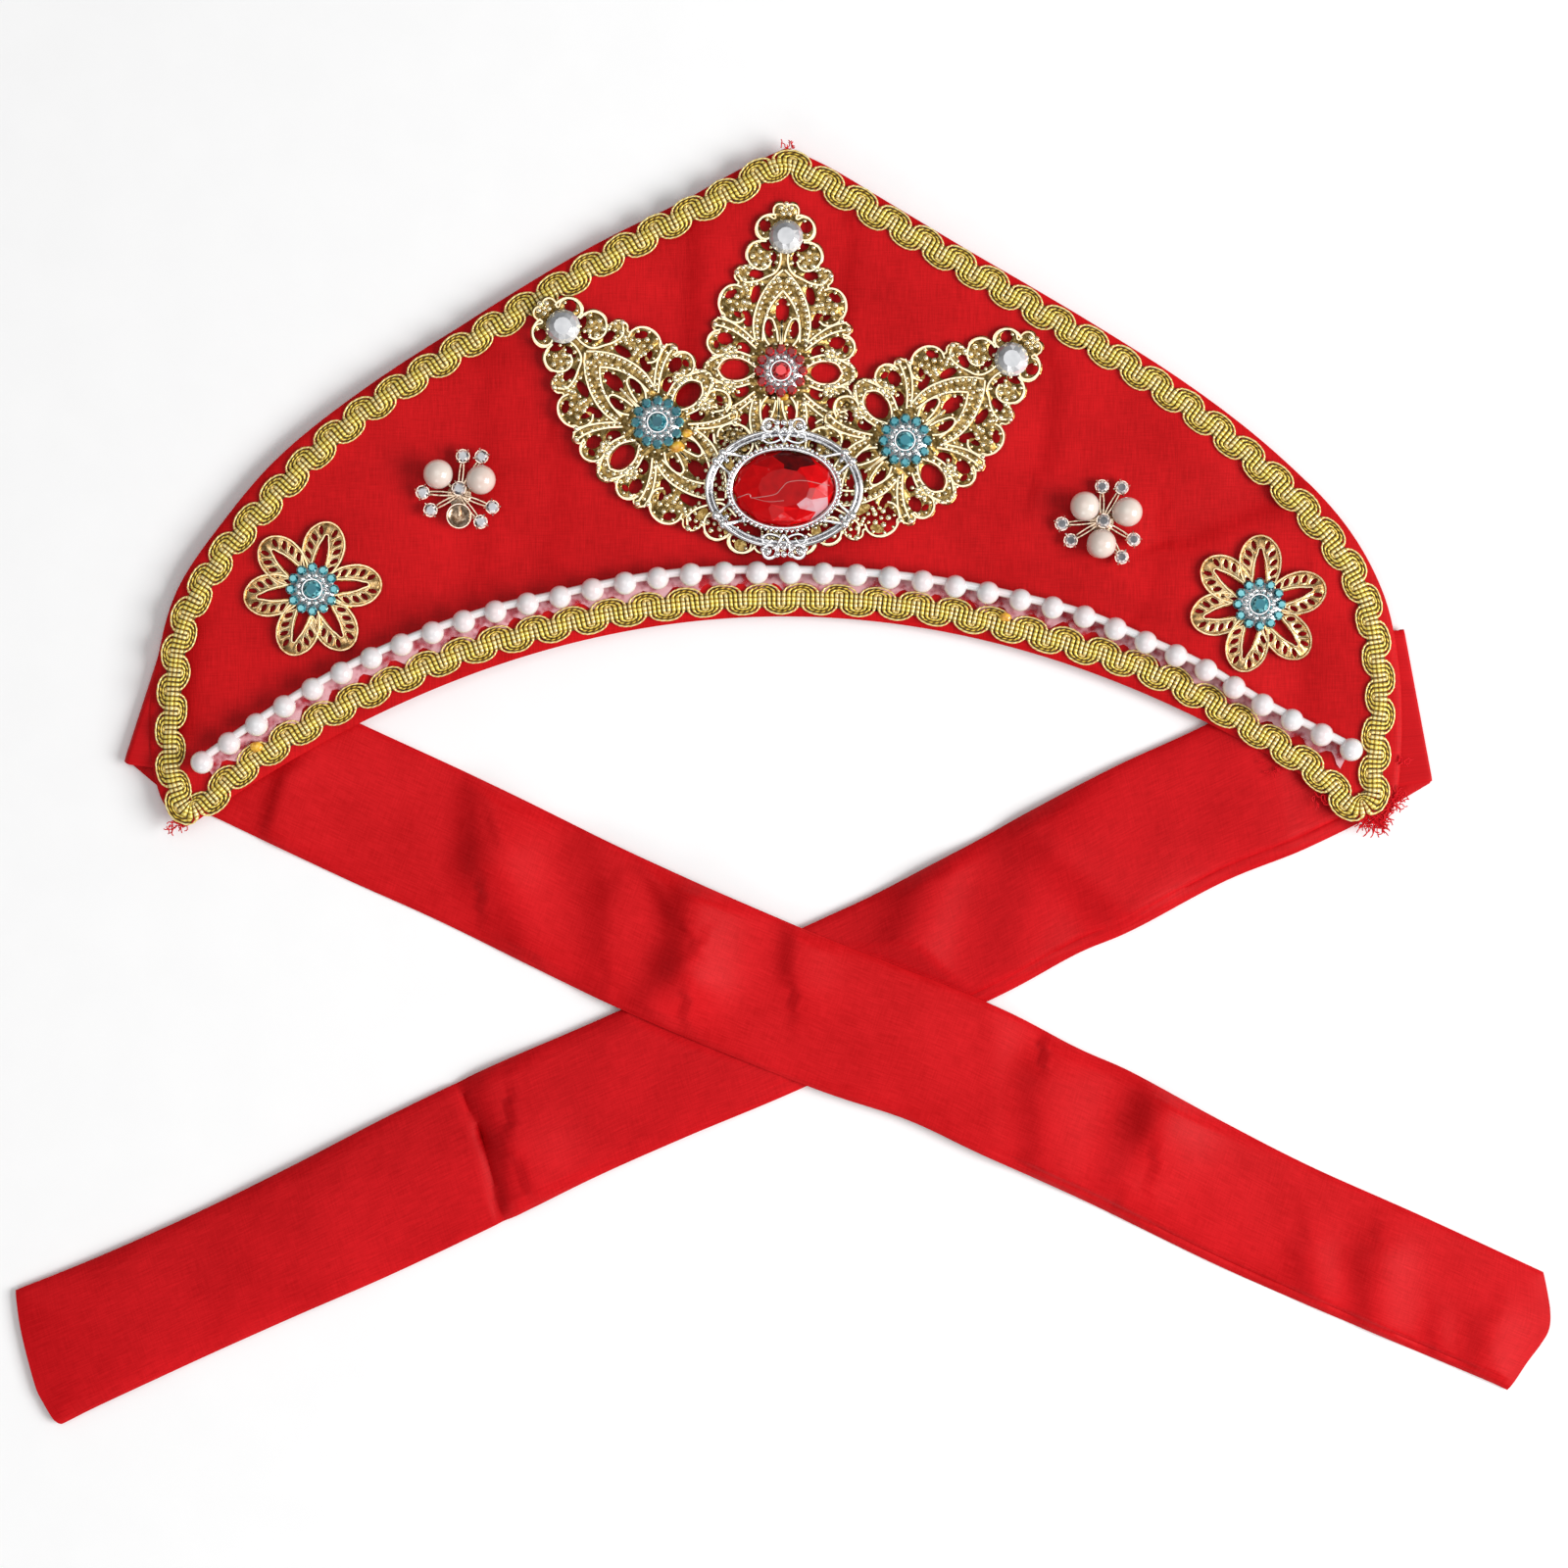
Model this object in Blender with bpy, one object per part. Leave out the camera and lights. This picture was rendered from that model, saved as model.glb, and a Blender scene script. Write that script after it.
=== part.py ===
# Kokoshnik headdress, lying face up: a stiff red cloth front with an arch for the head, gold braid
# round its rim, a string of beads, pierced gold ornaments with stones, and two crossed cloth ties.
# Units are metres. +Y points to the front's peak and +Z up out of its face. Pieces are modelled from
# the middle of the arch's foot, and the finished headdress is centred over its footprint.
import math

import bmesh
import bpy
from mathutils import Matrix, Vector
from mathutils.geometry import delaunay_2d_cdt, intersect_point_line

# Space between pieces that touch on the real thing
GAP = 0.0003

# Front panel: cloth over a stiff core
PANEL_WIDTH = 0.365
PANEL_HEIGHT = 0.198
PANEL_THICKNESS = 0.003
PANEL_RIM = 0.0007
ARCH_FOOT_INSET = 0.010
ARCH_SPAN = PANEL_WIDTH - 2 * ARCH_FOOT_INSET
ARCH_RISE = 0.0601
# Share of the arch that its edge follows before it turns to the tips, and steps along it
ARCH_KEPT = 0.998
ARCH_STEPS = 26
TIP_DROP = 0.0014
PEAK_SHIFT = 0.0009

# Braid glued round the panel's rim: its inset grows from the peak down to the depth given as a share
# of the panel's height
BRAID_WIDTH = 0.0094
BRAID_THICKNESS = 0.0016
BRAID_WAVE = 0.010
BRAID_SWING = 0.0015
BRAID_INSET_PEAK = 0.0050
BRAID_INSET_SIDE = 0.0070
BRAID_INSET_DEPTH = 0.7
BRAID_INSET_ARCH = 0.0038
BRAID_INSET_FOOT = 0.0046
BRAID_CORNER = 0.0056
# Straight run kept free for a rounded corner, as a share of its radius
BRAID_CORNER_RUN = 3.2

# String of beads above the arch
BEAD_RADIUS = 0.00345
BEAD_PITCH = 0.0095
BEAD_NECK_ANGLE = 22
BEAD_SIDES = 10
STRING_INSET = 0.0138

# Pierced gold leaves, side ones bent up over the middle one
LEAF_LENGTH = 0.0970
LEAF_WIDTH = 0.0436
LEAF_RIM = 0.0008
LEAF_CREST = 0.0012
JUNCTION_RISE = 0.0218
JUNCTION_SHIFT = -0.0028

# Round stones near the leaves' tips
CRYSTAL_RADIUS = 0.0050
CRYSTAL_HEIGHT = 0.0030
CRYSTAL_REACH = 0.0390

# Round clusters of stones
ROSETTE_RADIUS = 0.0078
ROSETTE_HEIGHT = 0.0034
ROSETTE_STONES = 12

# Silver oval mount and its stone
FRAME_LENGTH = 0.0460
FRAME_WIDTH = 0.0348
FRAME_HEIGHT = 0.0030
FRAME_RING = 0.0025
BEZEL = 0.0012
STONE_LENGTH = 0.0296
STONE_WIDTH = 0.0220
STONE_HEIGHT = 0.0050

# Pierced gold flowers
PETAL_REACH = 0.0196
PETAL_WIDTH = 0.0108
FLOWER_RIM = 0.0008
FLOWER_CREST = 0.0016

# Small brooches with pearls in cups
BROOCH_PLATE = 0.0010
CUP_RADIUS = 0.0043
CUP_RIM = 0.0020
CUP_REACH = 0.0070
SMALL_STONE_RADIUS = 0.0020
SMALL_STONE_REACH = 0.0111
BROOCH_HUB = 0.0030
PEARL_RADIUS = 0.0043

# Cloth ties, flattened sewn tubes
TIE_WIDTH = 0.0428
TIE_THICKNESS = 0.0012
TIE_EDGE = 0.0015
TIE_SEWN = 0.030
TIE_LEFT_LENGTH = 0.4434
TIE_RIGHT_LENGTH = 0.4454
TIE_LEFT_OUT = 0.0013
TIE_RIGHT_OUT = 0.0047
TIE_FOLD_DROP = 0.81

# The front's outer edge: depth below the peak as a share of its height, and how far the edge lies
# to the left and right of the peak as shares of half its width
PANEL_ROWS = (
    # depth, left, right
    (0.030, 0.072, 0.070),
    (0.075, 0.161, 0.152),
    (0.150, 0.320, 0.288),
    (0.250, 0.502, 0.473),
    (0.350, 0.667, 0.642),
    (0.450, 0.806, 0.783),
    (0.550, 0.900, 0.888),
    (0.650, 0.973, 0.950),
    (0.750, 1.005, 0.975),
    (0.850, 1.018, 0.982),
    (0.950, 1.003, 0.973),
)
PANEL_TIPS = (0.966, 0.948)

# The string's distance from the arch: place along the arch from its left foot (-1) to its right
# foot (1), and the distance as a share of STRING_INSET
STRING_ROWS = (
    # place, inset
    (-0.936, 0.93),
    (-0.800, 1.05),
    (-0.500, 1.06),
    (0.000, 0.91),
    (0.500, 1.03),
    (0.800, 0.90),
    (0.910, 0.97),
)

# A leaf's scalloped edge from its tip to its waist, as shares of half its width and half its length
LEAF_EDGE = (
    # across, along
    (0.000, 0.985),
    (0.075, 1.000),
    (0.145, 0.970),
    (0.130, 0.925),
    (0.310, 0.920),
    (0.385, 0.850),
    (0.295, 0.795),
    (0.480, 0.720),
    (0.460, 0.640),
    (0.635, 0.580),
    (0.595, 0.530),
    (0.780, 0.460),
    (0.825, 0.375),
    (0.765, 0.320),
    (0.915, 0.265),
    (0.840, 0.220),
    (0.940, 0.150),
    (0.870, 0.085),
    (1.000, 0.000),
)

# A quarter leaf's gaps: centre as shares of half width and half length, half length and half
# breadth of the gap as shares of half the leaf's length, and its turn from the leaf's length
LEAF_GAPS = (
    # across, along, reach, breadth, turn in degrees
    (0.250, 0.725, 0.056, 0.026, -60),
    (0.285, 0.570, 0.046, 0.026, 70),
    (0.600, 0.450, 0.056, 0.026, -40),
    (0.430, 0.310, 0.066, 0.028, -5),
    (0.700, 0.185, 0.056, 0.030, -75),
    (0.185, 0.265, 0.056, 0.022, -10),
)
LEAF_CREST_GAP = (0.000, 0.400, 0.075, 0.042, 0)
LEAF_WAIST_GAP = (0.620, 0.000, 0.085, 0.050, 90)

# Turn from the front's height, to the left if positive, distance of each leaf's middle from the
# place where the three leaves meet, as a share of half the leaf's length, and what it lies on. A tip
# lies on the panel, or on the braid where it reaches that far.
LEAVES = (
    # name, turn in degrees, reach, under its waist, under its inner end
    ("top", -2.2, 1.020, "panel", "panel"),
    ("left", 44.6, 0.995, "leaf", "leaf"),
    ("right", -52.5, 0.985, "leaf", "two leaves"),
)
# Place between a leaf's waist and either end where it has bent to the end's own height
LEAF_BEND = 0.6

# Petals' turns about each flower's middle, and its place as shares of half the panel's width
# and of its height
FLOWERS = (
    # name, across, up, petal turns in degrees
    ("left", -0.750, 0.350, (75, 5, -58, -110, -172, -224)),
    ("right", 0.756, 0.328, (88, 16, -47, -106, -167, -218)),
)

# A petal's half outline: distance from the flower's middle and half breadth, as shares of the
# petal's reach and of its width
PETAL_EDGE = (
    # reach, breadth
    (0.320, 0.220),
    (0.580, 0.500),
    (0.850, 0.400),
)

# Brooches: place as shares like the flowers', pearls that its cups hold
BROOCHES = (
    # name, across, up, cups that hold a pearl
    ("left", -0.517, 0.498, ("upper_right", "upper_left")),
    ("right", 0.509, 0.451, ("upper_right", "upper_left", "low")),
)
CUPS = {"upper_right": 19, "upper_left": 146, "low": 262}
SMALL_STONE_TURNS = (58, 88, 185, 213, 300, 329)

# The oval's place above the arch's crown, and the turns of the ornaments on its ring
FRAME_RISE = 0.0368
FRAME_ORNAMENTS = (
    # turn in degrees, how far it stands out as a share of FRAME_RING
    (90, 1.0),
    (148, 0.35),
    (212, 0.35),
    (270, 1.0),
    (328, 0.35),
    (392, 0.35),
)

# Ties: side they are sewn to, free end's fall below level, lean of the fold, the free end's width
# as a share of TIE_WIDTH, slack that bows the tie as a share of its length, and how far the free
# end bulges as a share of TIE_END_BULGE
TIES = (
    # name, side, fall in degrees, fold lean in degrees, end width, bow, free end's bulge
    ("left", -1, 24.64, 14.0, 0.85, 0.004, 1.00),
    ("right", 1, 25.40, 10.6, 0.945, 0.008, 0.32),
)
TIE_END_BULGE = 0.0063
TIE_END_SKEW = 0.12
# Shares of a tie's length: where it has turned level after its fold, and its ramp over the other tie
TIE_TWIST = 0.12
TIE_RAMP = 0.03

# Creases across the free part of each tie: place along it, and how high the crease stands at the
# upper edge, the middle and the lower edge as shares of CREASE_HEIGHT
CREASE_HEIGHT = 0.0018
CREASE_HALF_LENGTH = 0.012
CREASES = {
    "left": (
        # along, upper, middle, lower
        (0.235, 0.9, 0.5, 0.1),
        (0.290, 0.2, 0.6, 0.8),
        (0.660, 0.3, 0.8, 0.7),
        (0.720, 0.8, 0.6, 0.2),
        (0.860, 0.1, 0.5, 1.0),
    ),
    "right": (
        (0.235, 0.7, 0.6, 0.2),
        (0.290, 0.3, 0.8, 0.6),
        (0.685, 1.0, 1.0, 1.0),
        (0.790, 0.2, 0.5, 0.4),
        (0.900, 0.4, 0.3, 0.1),
    ),
}

# Heights of the layers, from the floor up
TIE_TURN = (TIE_THICKNESS + GAP) / 2
PANEL_BASE = 2 * (TIE_THICKNESS + GAP)
PANEL_TOP = PANEL_BASE + PANEL_THICKNESS
LAYER_ONE = PANEL_TOP + GAP
LAYER_TWO = LAYER_ONE + LEAF_CREST + GAP
LAYER_FOUR = LAYER_ONE + 3 * (LEAF_CREST + GAP)
SEATS = {
    "panel": 0.0,
    "braid": BRAID_THICKNESS + GAP,
    "leaf": LEAF_CREST + GAP,
    "two leaves": 2 * (LEAF_CREST + GAP),
}


def clear_scene():
    for thing in list(bpy.data.objects):
        bpy.data.objects.remove(thing, do_unlink=True)


def material(name, colour, roughness, metallic=0.0):
    made = bpy.data.materials.new(name)
    made.use_nodes = True
    shader = made.node_tree.nodes["Principled BSDF"]
    shader.inputs["Base Color"].default_value = (*colour, 1.0)
    shader.inputs["Roughness"].default_value = roughness
    shader.inputs["Metallic"].default_value = metallic
    made.diffuse_color = (*colour, 1.0)
    return made


def finish(name, shape, look, place=(0.0, 0.0, 0.0), turn=0.0):
    """Turns a bmesh into a named object with one material, its faces pointing out."""
    bmesh.ops.recalc_face_normals(shape, faces=shape.faces)
    if shape.calc_volume(signed=True) < 0:
        bmesh.ops.reverse_faces(shape, faces=shape.faces)
    mesh = bpy.data.meshes.new(name)
    shape.to_mesh(mesh)
    shape.free()
    mesh.materials.append(look)
    mesh.shade_smooth()
    mesh.set_sharp_from_angle(angle=math.radians(35))
    made = bpy.data.objects.new(name, mesh)
    made.location = place
    made.rotation_euler.z = turn
    bpy.context.collection.objects.link(made)
    return made


def blended(rows, place, column):
    """A column of a table read at a place between its rows, with straight runs between them."""
    if place <= rows[0][0]:
        return rows[0][column]
    for low, high in zip(rows, rows[1:]):
        if place <= high[0]:
            part = (place - low[0]) / (high[0] - low[0])
            return low[column] + part * (high[column] - low[column])
    return rows[-1][column]


def curve_through(points, steps):
    """A smooth curve through points, with a number of steps between each two of them."""
    held = [points[0], *points, points[-1]]
    curve = []
    for a, b, c, d in zip(held, held[1:], held[2:], held[3:]):
        for step in range(steps):
            t = step / steps
            straight = 2 * b + (c - a) * t
            bend = (2 * a - 5 * b + 4 * c - d) * t**2
            twist = (3 * b - a - 3 * c + d) * t**3
            curve.append((straight + bend + twist) / 2)
    curve.append(points[-1])
    return curve


def along(points, closed=False):
    """Distances from the first point to each point of a path, and the path's whole length."""
    ring = points + points[:1] if closed else points
    marks = [0.0]
    for a, b in zip(ring, ring[1:]):
        marks.append(marks[-1] + (b - a).length)
    return ring, marks


def at_distance(ring, marks, distance):
    """Point and unit direction of a path at a distance from its start."""
    for i in range(1, len(marks)):
        if distance <= marks[i] or i == len(marks) - 1:
            part = (distance - marks[i - 1]) / (marks[i] - marks[i - 1])
            run = ring[i] - ring[i - 1]
            return ring[i - 1] + run * part, run.normalized()


def left_of(direction):
    return Vector((-direction.y, direction.x))


def arch_point(place):
    """The arch's edge, a parabola, from its left foot at -1 to its right foot at 1."""
    return Vector((place * ARCH_SPAN / 2, ARCH_RISE * (1 - place**2)))


def arch_normal(place):
    """Unit direction away from the arch's hollow, into the cloth."""
    slope = -2 * ARCH_RISE * place / (ARCH_SPAN / 2)
    return left_of(Vector((1.0, slope)).normalized())


def edge_point(depth, side):
    """The panel's outer edge at a depth below its peak, a share of its height."""
    peak = Vector((PEAK_SHIFT, PANEL_HEIGHT - TIP_DROP))
    column = 1 if side < 0 else 2
    rows = ((0.0, 0.0, 0.0), *PANEL_ROWS, (1.0, *PANEL_TIPS))
    across = blended(rows, depth, column) * PANEL_WIDTH / 2
    return Vector((peak.x + side * across, peak.y - depth * PANEL_HEIGHT))


def outer_edge(steps):
    """The panel's outer edge from its right tip over the peak to its left tip."""
    depths = [0.0] + [row[0] for row in PANEL_ROWS] + [1.0]
    right = curve_through([edge_point(depth, 1) for depth in reversed(depths)], steps)
    left = curve_through([edge_point(depth, -1) for depth in depths], steps)
    return right + left[1:]


def arch_edge(count, reach=1.0):
    """The arch's edge from its left foot to its right foot, or to a share of the way to each."""
    return [arch_point(reach * (2 * i / count - 1)) for i in range(count + 1)]


def on_panel(across, up):
    """A place on the panel's face, as shares of half its width and of its height."""
    return Vector((across * PANEL_WIDTH / 2, up * PANEL_HEIGHT - TIP_DROP))


def moved_in(points, insets):
    """A closed or open path moved to its left, each point by its own distance."""
    moved = []
    for i, point in enumerate(points):
        before = points[max(i - 1, 0)]
        after = points[min(i + 1, len(points) - 1)]
        moved.append(point + left_of((after - before).normalized()) * insets[i])
    return moved


def front_panel(look):
    outline = outer_edge(2) + arch_edge(ARCH_STEPS, ARCH_KEPT)
    inset = []
    for i, point in enumerate(outline):
        run = outline[(i + 1) % len(outline)] - outline[i - 1]
        inset.append(point + left_of(run.normalized()) * PANEL_RIM)
    rings = ((outline, 0.0), (outline, PANEL_THICKNESS - PANEL_RIM), (inset, PANEL_THICKNESS))
    shape = bmesh.new()
    loft(shape, [[(p.x, p.y, height) for p in ring] for ring, height in rings])
    return finish("front_panel", shape, look, (0, 0, PANEL_BASE))


def loft(shape, rings, closed_ends=True):
    """Skins a stack of rings that have as many points each, or half as many as the one below."""
    made = [[shape.verts.new(point) for point in ring] for ring in rings]
    for low, high in zip(made, made[1:]):
        count = len(high)
        for i in range(count):
            j = (i + 1) % count
            if len(low) == count:
                shape.faces.new((low[i], low[j], high[j], high[i]))
            else:
                shape.faces.new((low[2 * i], low[2 * i + 1], high[i]))
                shape.faces.new((low[2 * i + 1], low[(2 * i + 2) % len(low)], high[j], high[i]))
    if closed_ends:
        shape.faces.new(list(reversed(made[0])))
        shape.faces.new(made[-1])
    return made


def circle(radius, height, sides, lobe=0.0, start=0.0):
    """A ring of points, every other one drawn in by a lobe's depth."""
    ring = []
    for i in range(sides):
        reach = radius - (lobe if i % 2 else 0.0)
        turn = start + 2 * math.pi * i / sides
        ring.append((reach * math.cos(turn), reach * math.sin(turn), height))
    return ring


def fillet(corner, before, after, radius, steps):
    """An arc that rounds the corner between two straight runs, from the first to the second."""
    back = (before - corner).normalized()
    ahead = (after - corner).normalized()
    half = back.angle(ahead) / 2
    middle = corner + (back + ahead).normalized() * radius / math.sin(half)
    start = corner + back * radius / math.tan(half) - middle
    sweep = start.angle_signed(corner + ahead * radius / math.tan(half) - middle)
    return [middle + Matrix.Rotation(-sweep * i / steps, 2) @ start for i in range(steps + 1)]


def crossing(a, b, c, d):
    """Where the line through a and b meets the line through c and d."""
    first, second = b - a, d - c
    part = (c - a).cross(second) / first.cross(second)
    return a + first * part


def braid_path():
    """The braid's middle line, a closed path round the panel with rounded corners at the tips."""
    outer = outer_edge(4)
    peak = edge_point(0.0, 1).y
    depths = [(peak - point.y) / PANEL_HEIGHT for point in outer]
    spread = BRAID_INSET_SIDE - BRAID_INSET_PEAK
    outer = moved_in(outer, [BRAID_INSET_PEAK + spread * min(1.0, d / BRAID_INSET_DEPTH) for d in depths])
    arch = []
    for point in arch_edge(60):
        place = point.x / (ARCH_SPAN / 2)
        inset = BRAID_INSET_ARCH + (BRAID_INSET_FOOT - BRAID_INSET_ARCH) * place**2
        arch.append(point + arch_normal(place) * inset)
    reach = BRAID_CORNER_RUN * BRAID_CORNER
    outer = [p for p, depth in zip(outer, depths) if depth * PANEL_HEIGHT < PANEL_HEIGHT - reach]
    arch = [p for p in arch if abs(p.x) < ARCH_SPAN / 2 - reach]
    left = crossing(outer[-2], outer[-1], arch[1], arch[0])
    right = crossing(arch[-2], arch[-1], outer[1], outer[0])
    left_turn = fillet(left, outer[-1], arch[0], BRAID_CORNER, 5)
    right_turn = fillet(right, arch[-1], outer[0], BRAID_CORNER, 5)
    return outer + left_turn + arch + right_turn


def over_braid(points):
    """True if one of these points of the panel's face lies within the braid's width."""
    ring, _ = along(braid_path(), closed=True)
    for point in points:
        for a, b in zip(ring, ring[1:]):
            share = intersect_point_line(point, a, b)[1]
            nearest = a.lerp(b, min(1.0, max(0.0, share)))
            if (point - nearest).length < BRAID_WIDTH / 2 + GAP:
                return True
    return False


def edge_braid(look):
    """A flat band that swings from side to side: rounded lobes, and sharp notches between them."""
    ring, marks = along(braid_path(), closed=True)
    waves = round(marks[-1] / BRAID_WAVE)
    side = BRAID_WIDTH / 2 - BRAID_SWING
    shape = bmesh.new()
    low, high = [], []
    phases = (45, 90, 135, 225, 270, 315)
    for wave in range(waves):
        for k, phase in enumerate(phases):
            point, direction = at_distance(ring, marks, marks[-1] * (wave + phase / 360) / waves)
            edge = side if k % 2 == 0 else -side
            swing = BRAID_SWING * math.sin(math.radians(phase))
            spot = point + left_of(direction) * (edge + swing)
            low.append(shape.verts.new((spot.x, spot.y, 0.0)))
            high.append(shape.verts.new((spot.x, spot.y, BRAID_THICKNESS)))
    count = len(low)
    for i in range(count):
        j, k = (i + 1) % count, (i + 2) % count
        shape.faces.new((high[i], high[j], high[k]))
        shape.faces.new((low[k], low[j], low[i]))
        shape.faces.new((low[i], low[k], high[k], high[i]))
    return finish("edge_braid", shape, look, (0, 0, LAYER_ONE))


def pearl_string(look):
    """Beads and the necks between them, one body: each bead is four rings of a sphere."""
    route = []
    for i in range(121):
        place = STRING_ROWS[0][0] + (STRING_ROWS[-1][0] - STRING_ROWS[0][0]) * i / 120
        inset = STRING_INSET * blended(STRING_ROWS, place, 1)
        route.append(arch_point(place) + arch_normal(place) * inset)
    ring, marks = along(route)
    beads = int(marks[-1] / BEAD_PITCH) + 1
    start = (marks[-1] - (beads - 1) * BEAD_PITCH) / 2
    neck = BEAD_NECK_ANGLE
    turns = [math.radians(neck + i * (180 - 2 * neck) / 3) for i in range(4)]
    shape = bmesh.new()
    rings = []
    for bead in range(beads):
        middle, direction = at_distance(ring, marks, start + bead * BEAD_PITCH)
        sideways = left_of(direction)
        for turn in turns:
            spot = middle - direction * (BEAD_RADIUS * math.cos(turn))
            reach = BEAD_RADIUS * math.sin(turn)
            corners = []
            for i in range(BEAD_SIDES):
                around = 2 * math.pi * i / BEAD_SIDES
                out = spot + sideways * (reach * math.cos(around))
                corners.append((out.x, out.y, reach * math.sin(around)))
            rings.append(corners)
    loft(shape, rings)
    return finish("pearl_string", shape, look, (0, 0, LAYER_ONE + BEAD_RADIUS))


def kite(middle, reach, breadth, turn):
    """Four corners of a pointed gap, its length turned from +Y."""
    ahead = Vector((-math.sin(turn), math.cos(turn)))
    side = left_of(ahead)
    return [middle + ahead * reach, middle + side * breadth, middle - ahead * reach, middle - side * breadth]


def pierced_plate(name, outline, gaps, heights, look, bosses=(), **placing):
    """A plate cut through by gaps, low at its outline and raised round each gap, flat underneath.

    heights is (outline, gaps); bosses are extra points (x, y, height) inside the outline. A raise
    function bends the whole plate up from its flat place.
    """
    raise_by = placing.pop("raise_by", lambda point: 0.0)
    points, loops, tops = [], [], []
    for ring, height in [(outline, heights[0])] + [(gap, heights[1]) for gap in gaps]:
        loops.append(list(range(len(points), len(points) + len(ring))))
        points.extend(ring)
        tops.extend([height] * len(ring))
    for x, y, height in bosses:
        points.append(Vector((x, y)))
        tops.append(height)
    edges = [(loop[i], loop[(i + 1) % len(loop)]) for loop in loops for i in range(len(loop))]
    spots, _, faces, sources, _, _ = delaunay_2d_cdt(points, edges, [], 1, 1e-7)
    heights_at = [tops[source[0]] for source in sources]
    shape = bmesh.new()
    low = [shape.verts.new((p.x, p.y, raise_by(p))) for p in spots]
    high = [shape.verts.new((p.x, p.y, raise_by(p) + top)) for p, top in zip(spots, heights_at)]
    rings = [set(loop) for loop in loops[1:]]
    index_of = [source[0] for source in sources]
    for face in faces:
        corners = {index_of[i] for i in face}
        if any(corners <= ring for ring in rings):
            continue
        shape.faces.new([high[i] for i in face])
        shape.faces.new([low[i] for i in reversed(face)])
    walls = [edge for edge in shape.edges if len(edge.link_faces) == 1 and edge.verts[0] in set(high)]
    partner = dict(zip(high, low))
    for edge in walls:
        a, b = edge.verts
        shape.faces.new((a, b, partner[b], partner[a]))
    return finish(name, shape, look, **placing)


def leaf_shape():
    """Outline and gaps of a leaf, worked out from one quarter of it."""
    wide, long = LEAF_WIDTH / 2, LEAF_LENGTH / 2
    quarter = [Vector((across * wide, up * long)) for across, up in LEAF_EDGE]
    right = quarter + [Vector((p.x, -p.y)) for p in reversed(quarter[:-1])]
    outline = right + [Vector((-p.x, p.y)) for p in reversed(right[1:-1])]
    gaps = []
    for across, up, reach, breadth, turn in LEAF_GAPS:
        for x in (1, -1):
            for y in (1, -1):
                middle = Vector((x * across * wide, y * up * long))
                gaps.append(kite(middle, reach * long, breadth * long, math.radians(-turn * x * y)))
    for across, up, reach, breadth, turn in (LEAF_CREST_GAP, LEAF_WAIST_GAP):
        for side in (1, -1):
            middle = Vector((side * across * wide, side * up * long))
            gaps.append(kite(middle, reach * long, breadth * long, math.radians(turn)))
    return outline, gaps


def filigree_leaves(gold, stone_looks, clear):
    """Three leaves, the side ones over the middle one, each with its rosette and its clear stone."""
    outline, gaps = leaf_shape()
    junction = Vector((JUNCTION_SHIFT, ARCH_RISE + JUNCTION_RISE))
    for name, turn_degrees, reach, under_waist, under_inner in LEAVES:
        turn = math.radians(turn_degrees)
        ahead = Vector((-math.sin(turn), math.cos(turn)))
        middle = junction + ahead * reach * LEAF_LENGTH / 2
        waist_seat, inner_seat = SEATS[under_waist], SEATS[under_inner]
        turned = Matrix.Rotation(turn, 2)
        tip_seat = SEATS["braid"] if over_braid([middle + turned @ p for p in outline]) else 0.0

        def raise_by(point):
            share = min(1.0, abs(point.y) / (LEAF_BEND * LEAF_LENGTH / 2))
            end_seat = tip_seat if point.y > 0 else inner_seat
            return waist_seat + (end_seat - waist_seat) * share

        place = (middle.x, middle.y, LAYER_ONE)
        heights = (LEAF_RIM, LEAF_CREST)
        placing = {"place": place, "turn": turn, "raise_by": raise_by}
        pierced_plate(f"filigree_leaf_{name}", outline, gaps, heights, gold, **placing)

        def seat_for(reach, radius):
            ends = [Vector((0.0, reach + side * radius)) for side in (-1, 1)]
            return LAYER_TWO + max(raise_by(end) for end in ends)

        rosette(f"rosette_{name}", middle, seat_for(0.0, ROSETTE_RADIUS), stone_looks[name])
        spot = middle + ahead * CRYSTAL_REACH
        place = (spot.x, spot.y, seat_for(CRYSTAL_REACH, CRYSTAL_RADIUS))
        cut_stone(f"crystal_{name}", place, (CRYSTAL_RADIUS, CRYSTAL_RADIUS), CRYSTAL_HEIGHT, clear)


def rosette(name, middle, base, look):
    """A ring of small stones round a ring of grains round a faceted middle stone."""
    body = ROSETTE_HEIGHT * 0.35
    lobe = ROSETTE_RADIUS * 0.14
    sides = 2 * ROSETTE_STONES
    half_turn = math.pi / sides
    shape = bmesh.new()
    loft(
        shape,
        [
            circle(ROSETTE_RADIUS, 0.0, sides, lobe),
            circle(ROSETTE_RADIUS, body, sides, lobe),
            circle(ROSETTE_RADIUS * 0.68, body * 1.5, ROSETTE_STONES, start=half_turn),
            circle(ROSETTE_RADIUS * 0.44, body * 1.8, ROSETTE_STONES, start=half_turn),
            circle(ROSETTE_RADIUS * 0.35, body * 2.0, ROSETTE_STONES, start=half_turn),
            circle(ROSETTE_RADIUS * 0.20, ROSETTE_HEIGHT, ROSETTE_STONES, start=half_turn),
        ],
    )
    return finish(name, shape, look, (middle.x, middle.y, base))


def cut_stone(name, place, radii, height, look, sides=12):
    """A flat-backed stone: girdle, sloping facets and a flat table."""
    levels = ((1.0, 0.0), (1.0, 0.25), (0.62, 1.0))
    shape = bmesh.new()
    rings = []
    for share, level in levels:
        ring = circle(share, height * level, sides)
        rings.append([(x * radii[0], y * radii[1], z) for x, y, z in ring])
    loft(shape, rings)
    return finish(name, shape, look, place)


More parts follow.
